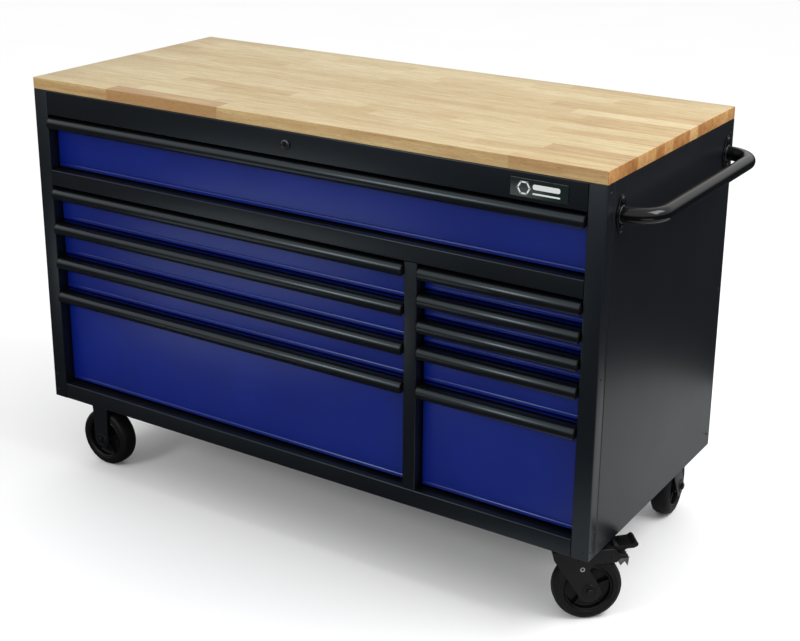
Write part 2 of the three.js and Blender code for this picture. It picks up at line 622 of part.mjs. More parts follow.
function flangeGeometry(centreY) {
  const { waist, lobe, halfAngle, boltHole } = FLANGE;
  const shape = new THREE.Shape();
  shape.absarc(centreY, PUSH_HANDLE_Z, waist, -halfAngle, halfAngle);
  shape.absarc(centreY, PUSH_HANDLE_Z + FLANGE_BOLT_OFFSET, lobe, halfAngle, Math.PI - halfAngle);
  shape.absarc(centreY, PUSH_HANDLE_Z, waist, Math.PI - halfAngle, Math.PI + halfAngle);
  shape.absarc(centreY, PUSH_HANDLE_Z - FLANGE_BOLT_OFFSET, lobe, Math.PI + halfAngle, 2 * Math.PI - halfAngle);
  for (const side of [-1, 1]) {
    const boltZ = PUSH_HANDLE_Z + side * FLANGE_BOLT_OFFSET;
    shape.holes.push(new THREE.Path().absarc(centreY, boltZ, boltHole, 0, 2 * Math.PI));
  }
  return extrude(shape, 'X', CABINET_WIDTH + GAP, CABINET_WIDTH + GAP + FLANGE_THICKNESS, 4);
}

addMesh(cabinet, 'push_handle_tube', pushTubeGeometry(), blackPowderCoat());
addMesh(cabinet, 'push_handle_flange_front', flangeGeometry(FLANGE_CENTRES_Y[0]), blackPowderCoat());
addMesh(cabinet, 'push_handle_flange_back', flangeGeometry(FLANGE_CENTRES_Y[1]), blackPowderCoat());

const badgeOutline = roundedRectangle(BADGE.left, BADGE.right, BADGE.bottom, BADGE.top, BADGE.corner);
addMesh(cabinet, 'badge_plate', extrude(badgeOutline, 'Y', -GAP - BADGE.thickness, -GAP, 3), blackPlastic());

// Casters. In a caster's group, X is the rolling direction, Y is along the axle and Z starts at the
// cabinet's bottom.

function wheelGeometry() {
  const half = [
    [AXLE_RADIUS + AXLE_CLEARANCE, HUB.outside], [HUB.radius, HUB.outside], [HUB.footRadius, HUB.footWidth],
    [HUB.rimRadius, HUB.rimWidth], [TYRE.innerRadius, TYRE.innerWidth],
    [TYRE.shoulderRadius, TYRE.shoulderWidth], [WHEEL_RADIUS, TYRE.treadWidth],
  ];
  const mirrored = half.map(([radius, y]) => [radius, -y]);
  const profile = [...mirrored, ...half.reverse(), mirrored[0]];
  return new THREE.LatheGeometry(profile.map(([radius, y]) => new THREE.Vector2(radius, y)), 32);
}

function axleGeometry() {
  const { radius, height } = AXLE_HEX;
  const head = LEG_INSIDE + LEG_SHEET + GAP;
  const end = head + height / 2;
  const hexAt = (y) => barAlongY(radius, y, y + height, 0, 0, 6);
  return join([barAlongY(AXLE_RADIUS, -end, end, 0, 0, 20), hexAt(head), hexAt(-head - height)]);
}

function addWheelAndAxle(group, name, trail) {
  const place = (geometry) => geometry.translate(trail, 0, AXLE_Z);
  addMesh(group, `wheel_${name}`, place(wheelGeometry()), blackRubber());
  addMesh(group, `axle_${name}`, place(axleGeometry()), zincSteel());
}

function legs(outline, trail) {
  const bore = barAlongY(AXLE_RADIUS + GAP, -THROUGH, THROUGH, trail, AXLE_Z, 20);
  const outside = LEG_INSIDE + LEG_SHEET;
  const spans = [[-outside, -LEG_INSIDE], [LEG_INSIDE, outside]];
  return spans.map(([y0, y1]) => cut(extrude(outline, 'Y', y0, y1, 5), [bore]));
}

function casterPlate() {
  const { halfLength, halfWidth, thickness, corner, boltInset, boltHole } = CASTER_PLATE;
  const outline = roundedRectangle(-halfLength, halfLength, -halfWidth, halfWidth, corner);
  for (const x of [-1, 1]) {
    for (const y of [-1, 1]) {
      const centre = [x * (halfLength - boltInset), y * (halfWidth - boltInset)];
      outline.holes.push(new THREE.Path().absarc(...centre, boltHole, 0, 2 * Math.PI));
    }
  }
  return extrude(outline, 'Z', -GAP - thickness, -GAP, 3);
}

function rigidBracketGeometry() {
  const { top, topHalfWidth, endRadius } = RIGID_LEG;
  const outline = new THREE.Shape();
  outline.moveTo(-topHalfWidth, top);
  outline.lineTo(-endRadius, AXLE_Z);
  outline.absarc(0, AXLE_Z, endRadius, Math.PI, 2 * Math.PI);
  outline.lineTo(topHalfWidth, top);
  return join([casterPlate(), ...legs(outline, 0)]);
}

function addRigidCaster(name, y) {
  const group = new THREE.Group();
  group.position.set(RIGID_CASTER_X, y, 0);
  addMesh(group, `bracket_${name}`, rigidBracketGeometry(), blackPowderCoat());
  addWheelAndAxle(group, name, 0);
  cabinet.add(group);
}

function swivelPlateGeometry() {
  const raceBottom = CROWN_TOP + GAP;
  const nutTop = CROWN_TOP - CROWN_THICKNESS - GAP;
  const nutBottom = nutTop - KINGPIN_NUT.height;
  const nutRadius = KINGPIN_RADIUS + KINGPIN_NUT.overhang;
  const profile = [
    [0, nutBottom], [nutRadius, nutBottom], [nutRadius, nutTop], [KINGPIN_RADIUS, nutTop],
    [KINGPIN_RADIUS, raceBottom], [RACE_RADIUS, raceBottom], [RACE_RADIUS, RACE_TOP], [0, RACE_TOP],
  ];
  const race = new THREE.LatheGeometry(profile.map(([radius, z]) => new THREE.Vector2(radius, z)), 24);
  return join([casterPlate(), race.rotateX(Math.PI / 2)]);
}

function addLines(outline, points) {
  for (const point of points) {
    outline.lineTo(...point);
  }
}

function forkSide() {
  const outline = new THREE.Shape();
  outline.moveTo(...FORK_FRONT_EDGE[0]);
  addLines(outline, FORK_FRONT_EDGE.slice(1));
  outline.absarc(CASTER_TRAIL, AXLE_Z, FORK_END.radius, FORK_END.startAngle, FORK_END.endAngle);
  addLines(outline, FORK_BACK_EDGE);
  outline.quadraticCurveTo(...FORK_ARM_CURVE.control, ...FORK_ARM_CURVE.end);
  addLines(outline, FORK_ARM);
  return outline;
}

function forkGeometry() {
  const { front, pastAxle, halfWidth, corner } = CROWN;
  const crown = roundedRectangle(front, CASTER_TRAIL + pastAxle, -halfWidth, halfWidth, corner);
  crown.holes.push(new THREE.Path().absarc(0, 0, KINGPIN_RADIUS + 1, 0, 2 * Math.PI));
  const pivotBore = barAlongY(PEDAL_PIVOT.bore, -THROUGH, THROUGH, PEDAL_PIVOT.x, PEDAL_PIVOT.z, 16);
  const sides = legs(forkSide(), CASTER_TRAIL);
  const whole = join([extrude(crown, 'Z', CROWN_TOP - CROWN_THICKNESS, CROWN_TOP, 4), ...sides]);
  return cut(whole, [pivotBore]);
}

function pedalGeometry() {
  const { x, z, radius } = PEDAL_PIVOT;
  const outline = new THREE.Shape();
  outline.moveTo(...PEDAL_UNDERSIDE[0]);
  addLines(outline, PEDAL_UNDERSIDE.slice(1));
  outline.quadraticCurveTo(...PEDAL_TIP.control, ...PEDAL_TIP.end);
  addLines(outline, PEDAL_TOP);
  const lever = extrude(outline, 'Y', -PEDAL_HALF_WIDTH, PEDAL_HALF_WIDTH, 6).translate(x, 0, z);
  return join([lever, barAlongY(radius, -LEG_INSIDE - LEG_SHEET, LEG_INSIDE + LEG_SHEET, x, z, 16)]);
}

function addSwivelCaster(name, y, angle) {
  const plateGroup = new THREE.Group();
  plateGroup.position.set(SWIVEL_CASTER_X, y, 0);
  addMesh(plateGroup, `swivel_plate_${name}`, swivelPlateGeometry(), zincSteel());
  const forkGroup = new THREE.Group();
  forkGroup.position.copy(plateGroup.position);
  forkGroup.rotation.z = angle;
  addMesh(forkGroup, `fork_${name}`, forkGeometry(), blackPowderCoat());
  addMesh(forkGroup, `brake_pedal_${name}`, pedalGeometry(), blackPlastic());
  addWheelAndAxle(forkGroup, name, CASTER_TRAIL);
  cabinet.add(plateGroup, forkGroup);
}

addRigidCaster('front_left', CASTER_FRONT_Y);
addRigidCaster('back_left', CASTER_BACK_Y);
addSwivelCaster('front_right', CASTER_FRONT_Y, FRONT_SWIVEL_ANGLE);
addSwivelCaster('back_right', CASTER_BACK_Y, BACK_SWIVEL_ANGLE);

// The origin is on the floor, under the middle of the whole bench.

const bounds = new THREE.Box3().setFromObject(cabinet, true);
const middle = bounds.getCenter(new THREE.Vector3());
cabinet.position.set(-middle.x, -middle.y, -bounds.min.z);

const workbench = new THREE.Group();
workbench.add(cabinet);

export default workbench;
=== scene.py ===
"""Workbench with drawers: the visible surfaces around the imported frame.

Sizes are millimetres in the cabinet's own frame, whose origin is the cabinet's front left bottom
corner, with X to the right, Y to the back and Z up. A Workshop turns them into metres.
"""

import logging
import math
import random
from collections.abc import Iterable, Sequence
from dataclasses import dataclass
from enum import Enum

import bmesh
import bpy
from mathutils import Matrix, Vector


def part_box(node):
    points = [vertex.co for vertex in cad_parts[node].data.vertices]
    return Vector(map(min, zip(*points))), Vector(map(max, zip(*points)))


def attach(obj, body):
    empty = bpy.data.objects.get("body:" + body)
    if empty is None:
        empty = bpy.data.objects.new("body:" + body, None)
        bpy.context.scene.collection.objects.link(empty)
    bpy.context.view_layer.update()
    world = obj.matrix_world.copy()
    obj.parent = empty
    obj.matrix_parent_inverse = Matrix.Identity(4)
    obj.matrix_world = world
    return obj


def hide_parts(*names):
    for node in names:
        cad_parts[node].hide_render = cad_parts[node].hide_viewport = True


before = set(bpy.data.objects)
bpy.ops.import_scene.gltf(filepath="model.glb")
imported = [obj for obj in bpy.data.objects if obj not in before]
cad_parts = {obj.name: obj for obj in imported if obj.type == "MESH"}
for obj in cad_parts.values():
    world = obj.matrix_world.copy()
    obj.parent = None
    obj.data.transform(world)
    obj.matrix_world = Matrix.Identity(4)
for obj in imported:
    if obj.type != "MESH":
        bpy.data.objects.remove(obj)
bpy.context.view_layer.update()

log = logging.getLogger("workbench")

Point = tuple[float, float]
Place = tuple[float, float, float]
Colour = tuple[float, float, float]
Span = tuple[float, float]
Socket = bpy.types.NodeSocket

MM = 0.001
SHARP_ANGLE = math.radians(32)
FULL_TURN = 2 * math.pi
WASHER_SHEET = 1.5
# A turned profile's ring of less than this radius is one point.
TINY_RADIUS = 1e-6
# A rounded corner's least half angle, in radians, and how much of a line its curve may take.
LEAST_HALF_CORNER = 0.05
CORNER_SHARE = 0.48
# The least cosine at an offset path's corner, which keeps sharp corners near the path.
LEAST_COSINE = 0.2
# Most of a noise texture's values lie between these two.
NOISE_LOW, NOISE_HIGH = 0.3, 0.7


# ---------------------------------------------------------------- frame


class Axis(Enum):
    """The direction that a section is extruded or turned along."""

    X = "X"
    Y = "Y"
    Z = "Z"


class Slot(Enum):
    """The record's material slots."""

    BEECH = "beech_top"
    BLACK = "black_powder_coat"
    BLUE = "blue_paint"
    HANDLE = "dark_handle"
    ZINC = "zinc_steel"
    RUBBER = "wheel_rubber"
    PLASTIC = "black_plastic"
    BADGE = "badge_plastic"


CABINET_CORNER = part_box("corner_post_left")[0]
TO_METRES = Matrix.Translation(CABINET_CORNER) @ Matrix.Scale(MM, 4)


def cad_span(node: str) -> tuple[Vector, Vector]:
    """Gives a CAD node's box in the cabinet's frame.

    Args:
        node: The CAD node's name.

    Returns:
        Its lowest and its highest corner, in millimetres.
    """
    low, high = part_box(node)
    return (low - CABINET_CORNER) / MM, (high - CABINET_CORNER) / MM


def placed(axis: Axis, a: float, b: float, along: float) -> Vector:
    """Puts a section's point in space.

    Args:
        axis: The section's extrusion axis. X takes (Y, Z), Y takes (X, Z) and Z takes (X, Y).
        a: The section's first coordinate.
        b: The section's second coordinate.
        along: The place along the axis.

    Returns:
        The point.
    """
    order = {Axis.X: (along, a, b), Axis.Y: (a, along, b), Axis.Z: (a, b, along)}
    return Vector(order[axis])


# ---------------------------------------------------------------- outlines


def rounded_path(path: Sequence[Point], radius: float, steps: int = 4) -> list[Point]:
    """Rounds the corners of an open path.

    Args:
        path: The path's corners.
        radius: The radius at each corner.
        steps: The number of short lines round each corner.

    Returns:
        The rounded path's points.
    """
    points = [Vector(p) for p in path]
    result = [points[0]]
    for before, corner, after in zip(points, points[1:], points[2:]):
        back, ahead = before - corner, after - corner
        half = max(back.angle(ahead) / 2, LEAST_HALF_CORNER)
        reach = min(radius / math.tan(half), CORNER_SHARE * back.length, CORNER_SHARE * ahead.length)
        start = corner + back.normalized() * reach
        end = corner + ahead.normalized() * reach
        for i in range(steps + 1):
            t = i / steps
            result.append(start * (1 - t) ** 2 + corner * 2 * t * (1 - t) + end * t * t)
    result.append(points[-1])
    return [(p.x, p.y) for p in result]


def rounded_outline(corners: Sequence[Point], radius: float, steps: int) -> list[Point]:
    """Rounds all the corners of a closed outline.

    Args:
        corners: The outline's corners.
        radius: The radius at each corner.
        steps: The number of short lines round each corner.

    Returns:
        The outline's points.
    """
    wrapped = [corners[-1], *corners, corners[0]]
    return rounded_path(wrapped, radius, steps)[1:-1]


def offset_path(path: Sequence[Point], distance: float) -> list[Point]:
    """Moves an open path to its left.

    Args:
        path: The path's points.
        distance: How far it moves.

    Returns:
        The moved path's points.
    """
    points = [Vector(p) for p in path]
    directions = [(b - a).normalized() for a, b in zip(points, points[1:])]
    moved = []
    for i, point in enumerate(points):
        before = directions[max(i - 1, 0)]
        after = directions[min(i, len(directions) - 1)]
        normal = Vector((-before.y - after.y, before.x + after.x)).normalized()
        cosine = max(normal.x * -before.y + normal.y * before.x, LEAST_COSINE)
        moved.append(point + normal * (distance / cosine))
    return [(p.x, p.y) for p in moved]


def sheet_outline(path: Sequence[Point], thickness: float, bend: float) -> list[Point]:
    """Draws the section of a folded sheet.

    Args:
        path: The corners along its outer face, with the metal on the left.
        thickness: The sheet's thickness.
        bend: The outside radius of the folds.

    Returns:
        The section's outline.
    """
    outer = rounded_path(path, bend)
    return outer + offset_path(outer, thickness)[::-1]


def arc(centre: Point, radius: float, start: float, end: float, steps: int) -> list[Point]:
    """Draws an arc.

    Args:
        centre: The arc's centre.
        radius: The arc's radius.
        start: The first angle, in degrees.
        end: The last angle, in degrees.
        steps: The number of short lines.

    Returns:
        The arc's points.
    """
    angles = [math.radians(start + (end - start) * i / steps) for i in range(steps + 1)]
    return [(centre[0] + radius * math.cos(t), centre[1] + radius * math.sin(t)) for t in angles]


def rectangle(a: Span, b: Span) -> list[Point]:
    """Gives a rectangle's corners from its two spans."""
    return [(a[0], b[0]), (a[1], b[0]), (a[1], b[1]), (a[0], b[1])]


# ---------------------------------------------------------------- workshop


class Workshop:
    """Collects shapes for one piece and makes the piece from them.

    Attributes:
        place: The matrix from the shapes' millimetres to the row frame's metres.
    """

    def __init__(self, place: Matrix = TO_METRES) -> None:
        """Starts an empty piece.

        Args:
            place: The matrix from the shapes' millimetres to metres.
        """
        self.place = place
        self.mesh = bmesh.new()

    def absorb(self, part: bmesh.types.BMesh) -> None:
        """Adds a shape to the piece.

        Args:
            part: The shape, which is used up.
        """
        carrier = bpy.data.meshes.new("carrier")
        part.to_mesh(carrier)
        part.free()
        self.mesh.from_mesh(carrier)
        bpy.data.meshes.remove(carrier)

    def _take(self, part: bmesh.types.BMesh, bevel: float, segments: int) -> None:
        """Bevels a shape's sharp edges and adds the shape to the piece.

        Args:
            part: The shape, which is used up.
            bevel: The width of the bevel, or 0 for none.
            segments: The number of faces across the bevel.
        """
        bmesh.ops.recalc_face_normals(part, faces=part.faces)
        if bevel > 0:
            sharp = [e for e in part.edges if len(e.link_faces) == 2 and e.calc_face_angle() > SHARP_ANGLE]
            bmesh.ops.bevel(
                part, geom=sharp, offset=bevel, segments=segments, profile=0.5,
                affect="EDGES", clamp_overlap=True,
            )
        self.absorb(part)

    def extrude(
        self, outline: Sequence[Point], axis: Axis, along: Span, bevel: float = 0.0, segments: int = 2
    ) -> "Workshop":
        """Adds a section extruded along an axis.

        Args:
            outline: The section's closed outline.
            axis: The axis of the extrusion.
            along: Where the extrusion starts and ends.
            bevel: The bevel on its sharp edges.
            segments: The number of faces across the bevel.

        Returns:
            This workshop.
        """
        part = bmesh.new()
        first = [part.verts.new(placed(axis, a, b, along[0])) for a, b in outline]
        last = [part.verts.new(placed(axis, a, b, along[1])) for a, b in outline]
        part.faces.new(first[::-1])
        part.faces.new(last)
        for i in range(len(outline)):
            j = (i + 1) % len(outline)
            part.faces.new((first[i], first[j], last[j], last[i]))
        self._take(part, bevel, segments)
        return self

    def block(self, x: Span, y: Span, z: Span, bevel: float, segments: int = 2) -> "Workshop":
        """Adds a block with bevelled edges.

        Args:
            x: Its span along X.
            y: Its span along Y.
            z: Its span along Z.
            bevel: The width of the bevel.
            segments: The number of faces across the bevel.

        Returns:
            This workshop.
        """
        return self.extrude(rectangle(x, y), Axis.Z, z, bevel, segments)

    def sheet(
        self, path: Sequence[Point], axis: Axis, along: Span, thickness: float, bend: float
    ) -> "Workshop":
        """Adds a folded sheet.

        Args:
            path: The corners along its outer face, with the metal on the left.
            axis: The axis of its folds.
            along: Where it starts and ends.
            thickness: The sheet's thickness.
            bend: The outside radius of the folds.

        Returns:
            This workshop.
        """
        return self.extrude(sheet_outline(path, thickness, bend), axis, along, thickness / 4, 2)

    def lathe(
        self, profile: Sequence[Point], axis: Axis, centre: Sequence[float], segments: int
    ) -> "Workshop":
        """Adds a turned shape.

        Args:
            profile: The (radius, place along the axis) points, from one end to the other. It closes on
                itself unless it starts and ends at radius 0.
            axis: The axis of the turning.
            centre: The point that the profile's zero is at.
            segments: The number of faces round it.

        Returns:
            This workshop.
        """
        part = bmesh.new()
        rings = []
        for radius, along in profile:
            count = segments if radius > TINY_RADIUS else 1
            ring = []
            for i in range(count):
                angle = FULL_TURN * i / segments
                point = placed(axis, radius * math.cos(angle), radius * math.sin(angle), along)
                ring.append(part.verts.new(point + Vector(centre)))
            rings.append(ring)
        open_profile = profile[0][0] <= TINY_RADIUS
        pairs = list(zip(rings, rings[1:])) + ([] if open_profile else [(rings[-1], rings[0])])
        for low, high in pairs:
            for i in range(segments):
                j = (i + 1) % segments
                corners = [low[i % len(low)], low[j % len(low)], high[j % len(high)], high[i % len(high)]]
                unique = list(dict.fromkeys(corners))
                if len(unique) > 2:
                    part.faces.new(unique)
        self._take(part, 0.0, 1)
        return self

    def tube(self, route: Sequence[Vector], radius: float, segments: int) -> "Workshop":
        """Adds a round tube that lies in a level plane.

        Args:
            route: The points of its centre line.
            radius: The tube's radius.
            segments: The number of faces round it.

        Returns:
            This workshop.
        """
        part = bmesh.new()
        up = Vector((0, 0, 1))
        rings = []
        for i, point in enumerate(route):
            ahead = (route[min(i + 1, len(route) - 1)] - route[max(i - 1, 0)]).normalized()
            side = ahead.cross(up).normalized()
            turns = [FULL_TURN * k / segments for k in range(segments)]
            ring = [point + side * (radius * math.cos(t)) + up * (radius * math.sin(t)) for t in turns]
            rings.append([part.verts.new(p) for p in ring])
        for low, high in zip(rings, rings[1:]):
            for i in range(segments):
                j = (i + 1) % segments
                part.faces.new((low[i], low[j], high[j], high[i]))
        part.faces.new(rings[0][::-1])
        part.faces.new(rings[-1])
        self._take(part, 0.0, 1)
        return self

    def hex_bolt(self, axis: Axis, seat: Sequence[float], across: float, out: int) -> "Workshop":
        """Adds a bolt head with its washer.

        Args:
            axis: The bolt's axis.
            seat: The point where its axis meets the surface.
            across: The head's size across its corners.
            out: 1 where the head points along the axis, or -1.

        Returns:
            This workshop.
        """
        radius = across / 2
        rim, bearing = radius * 1.35, out * WASHER_SHEET
        washer = [(0, 0), (rim, 0), (rim, out * 1.1), (radius * 1.25, bearing), (0, bearing)]
        self.lathe(washer, axis, seat, 28)
        height = across * 0.36
        shoulder, top = out * (WASHER_SHEET + height * 0.8), out * (WASHER_SHEET + height)
        head = [(0, bearing), (radius, bearing), (radius, shoulder), (radius * 0.86, top), (0, top)]
        return self.lathe(head, axis, seat, 6)

    def dome(self, axis: Axis, seat: Sequence[float], radius: float, height: float, out: int) -> "Workshop":
        """Adds a rivet's or button screw's domed head.

        Args:
            axis: The head's axis.
            seat: The point where its axis meets the surface.
            radius: The head's radius.
            height: The head's height.
            out: 1 where the head points along the axis, or -1.

        Returns:
            This workshop.
        """
        steps = 6
        turns = [math.pi / 2 * i / steps for i in range(steps)]
        curve = [(radius * math.cos(t), out * height * math.sin(t)) for t in turns]
        return self.lathe([(0, 0), *curve, (0, out * height)], axis, seat, 24)

    def piece(
        self, name: str, finish: "Finish", slot: Slot, body: str, stands_for: Iterable[str] = ()
    ) -> bpy.types.Object:
        """Makes the piece, dresses it and lets it ride on its body.

        Args:
            name: The piece's name.
            finish: Its finish.
            slot: The record's material slot. It is not used.
            body: The CAD body that it moves with.
            stands_for: The CAD nodes that it replaces.

        Returns:
            The piece's object.
        """
        data = bpy.data.meshes.new(name)
        bmesh.ops.transform(self.mesh, matrix=self.place, verts=self.mesh.verts)
        self.mesh.to_mesh(data)
        self.mesh.free()
        data.polygons.foreach_set("use_smooth", [True] * len(data.polygons))
        data.set_sharp_from_angle(angle=SHARP_ANGLE)
        data.materials.append(finish.material())
        thing = bpy.data.objects.new(name, data)
        bpy.context.scene.collection.objects.link(thing)
        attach(thing, body)
        if stands_for:
            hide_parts(*stands_for)
        log.info("made %s with %d faces", name, len(data.polygons))
        return thing


# ---------------------------------------------------------------- finishes


class Nodes:
    """Builds a material's node tree."""

    def __init__(self, name: str) -> None:
        """Starts a material with its shader.

        Args:
            name: The material's name.
        """
        self.made = bpy.data.materials.new(name)
        self.made.use_nodes = True
        self.tree = self.made.node_tree
        self.shader = self.tree.nodes["Principled BSDF"]

    def add(self, kind: str, **values: object) -> bpy.types.Node:
        """Adds a node.

        Args:
            kind: The node's type.
            values: Its properties, and its inputs' values by name with _ for a space.

        Returns:
            The node.
        """
        node = self.tree.nodes.new(kind)
        for key, value in values.items():
            if hasattr(node, key):
                setattr(node, key, value)
            else:
                node.inputs[key.replace("_", " ")].default_value = value
        return node

    def link(self, source: Socket, target: Socket) -> None:
        """Links two sockets."""
        self.tree.links.new(source, target)

    def feed(self, name: str, source: Socket) -> None:
        """Links a socket to one of the shader's own."""
        self.link(source, self.shader.inputs[name])

    def set(self, **values: object) -> None:
        """Sets the shader's own sockets, with _ for a space."""
        for key, value in values.items():
            self.shader.inputs[key.replace("_", " ")].default_value = value

    def place(self, stretch: Sequence[float] = (1, 1, 1)) -> Socket:
        """Gives the surface's place in metres, stretched.

        Args:
            stretch: The scale along each axis.

        Returns:
            The vector socket.
        """
        coordinates = self.add("ShaderNodeTexCoord")
        mapping = self.add("ShaderNodeMapping")
        mapping.inputs["Scale"].default_value = stretch
        self.link(coordinates.outputs["Object"], mapping.inputs["Vector"])
        return mapping.outputs["Vector"]

    def noise(self, scale: float, detail: float, where: Socket) -> Socket:
        """Adds a noise texture.

        Args:
            scale: The noise's scale.
            detail: Its detail.
            where: The vector it reads.

        Returns:
            Its factor socket.
        """
        node = self.add("ShaderNodeTexNoise", Scale=scale, Detail=detail)
        self.link(where, node.inputs["Vector"])
        return node.outputs["Fac"]

    def ramp(self, source: Socket, stops: Sequence[tuple[float, Colour]]) -> Socket:
        """Colours a factor.

        Args:
            source: The factor.
            stops: The places and colours of the ramp's stops.

        Returns:
            The colour socket.
        """
        node = self.add("ShaderNodeValToRGB")
        ramp = node.color_ramp
        while len(ramp.elements) < len(stops):
            ramp.elements.new(0.5)
        for element, (place, colour) in zip(ramp.elements, stops):
            element.position = place
            element.color = (*colour, 1)
        self.link(source, node.inputs["Fac"])
        return node.outputs["Color"]

    def range(self, source: Socket, low: float, high: float) -> Socket:
        """Maps a noise factor's usual range to another range.

        Args:
            source: The factor, mostly from NOISE_LOW to NOISE_HIGH.
            low: The value at NOISE_LOW.
            high: The value at NOISE_HIGH.

        Returns:
            The value socket.
        """
        node = self.add("ShaderNodeMapRange")
        node.inputs["From Min"].default_value = NOISE_LOW
        node.inputs["From Max"].default_value = NOISE_HIGH
        node.inputs["To Min"].default_value = low
        node.inputs["To Max"].default_value = high
        self.link(source, node.inputs["Value"])
        return node.outputs["Result"]

    def bump(self, height: Socket, strength: float, depth: float) -> None:
        """Adds a bump to the shader.

        Args:
            height: The height.
            strength: The bump's strength.
            depth: The height's scale, in metres.
        """
        node = self.add("ShaderNodeBump", Strength=strength, Distance=depth)
        self.link(height, node.inputs["Height"])
        self.feed("Normal", node.outputs["Normal"])


@dataclass(frozen=True)
class Finish:
    """A finish. Each kind builds its own material once.

    Attributes:
        name: The finish's name.
    """

    name: str

    def build(self, nodes: Nodes) -> None:
        """Builds the material's nodes.

        Args:
            nodes: The new material's tree.
        """
        raise NotImplementedError

    def material(self) -> bpy.types.Material:
        """Gives the finish's material, which it makes the first time.

        Returns:
            The material.
        """
        title = f"{self.name}_finish"
        found = bpy.data.materials.get(title)
        if found is None:
            nodes = Nodes(title)
            self.build(nodes)
            found = nodes.made
        return found


@dataclass(frozen=True)
class Coating(Finish):
    """Paint or powder coat on steel, with orange peel and a slight change of gloss.

    Attributes:
        colour: The coat's colour.
        shade: The colour of its darker patches.
        roughness: Its lowest and highest roughness.
        peel_scale: The orange peel's scale.
        peel_depth: The orange peel's depth, in metres.
        metallic: How metallic it is.
        tint: The tint of its reflections.
        specular: The level of its reflections.
        patch_scale: The scale of its patches of colour.
        gloss_scale: The scale of its changes of gloss.
        peel_strength: The orange peel's strength.
    """

    colour: Colour
    shade: Colour
    roughness: Span
    peel_scale: float = 700
    peel_depth: float = 0.00004
    metallic: float = 0.0
    tint: Colour = (1.0, 1.0, 1.0)
    specular: float = 0.5
    patch_scale: float = 7
    gloss_scale: float = 6
    peel_strength: float = 0.35

    def build(self, nodes: Nodes) -> None:
        """Builds the coat.

        Args:
            nodes: The new material's tree.
        """
        where = nodes.place()
        patches = nodes.noise(self.patch_scale, 4, where)
        nodes.feed("Base Color", nodes.ramp(patches, [(0.35, self.shade), (0.65, self.colour)]))
        gloss = nodes.noise(self.gloss_scale, 2, where)
        nodes.feed("Roughness", nodes.range(gloss, *self.roughness))
        nodes.set(Metallic=self.metallic, Specular_Tint=(*self.tint, 1), Specular_IOR_Level=self.specular)
        nodes.bump(nodes.noise(self.peel_scale, 2, where), self.peel_strength, self.peel_depth)


@dataclass(frozen=True)
class PlatedSteel(Finish):
    """Zinc-plated steel with fine drawing marks.

    Attributes:
        colour: The metal's colour.
        shade: The colour of its duller patches.
        stretch: How the drawing marks are stretched along each axis.
        roughness: Its lowest and highest roughness.
        patch_scale: The scale of its patches of colour.
        mark_scale: The scale of the drawing marks.
        mark_depth: Their depth, in metres.
    """

    colour: Colour = (0.62, 0.63, 0.65)
    shade: Colour = (0.4, 0.41, 0.43)
    stretch: Place = (1, 0.06, 1)
    roughness: Span = (0.26, 0.42)
    patch_scale: float = 40
    mark_scale: float = 900
    mark_depth: float = 0.00003

    def build(self, nodes: Nodes) -> None:
        """Builds the metal.

        Args:
            nodes: The new material's tree.
        """
        patches = nodes.noise(self.patch_scale, 5, nodes.place())
        stops = [(NOISE_LOW, self.shade), (NOISE_HIGH, self.colour)]
        nodes.feed("Base Color", nodes.ramp(patches, stops))
        marks = nodes.noise(self.mark_scale, 3, nodes.place(self.stretch))
        nodes.feed("Roughness", nodes.range(marks, *self.roughness))
        nodes.set(Metallic=1.0)
        nodes.bump(marks, 0.2, self.mark_depth)


@dataclass(frozen=True)
class Moulding(Finish):
    """Moulded rubber or plastic with a fine grain.

    Attributes:
        colour: The clean colour.
        dust: The colour of its dusty patches.
        roughness: Its lowest and highest roughness.
        grain_scale: The grain's scale.
        grain_depth: The grain's depth, in metres.
        dust_scale: The scale of its dusty patches.
        specular: The level of its reflections.
    """

    colour: Colour
    dust: Colour
    roughness: Span
    grain_scale: float = 1500
    grain_depth: float = 0.00005
    dust_scale: float = 55
    specular: float = 0.18

    def build(self, nodes: Nodes) -> None:
        """Builds the moulding.

        Args:
            nodes: The new material's tree.
        """
        where = nodes.place()
        dust = nodes.noise(self.dust_scale, 8, where)
        nodes.feed("Base Color", nodes.ramp(dust, [(0.45, self.colour), (0.8, self.dust)]))
        nodes.feed("Roughness", nodes.range(dust, *self.roughness))
        nodes.set(Specular_IOR_Level=self.specular)
        nodes.bump(nodes.noise(self.grain_scale, 2, where), 0.4, self.grain_depth)


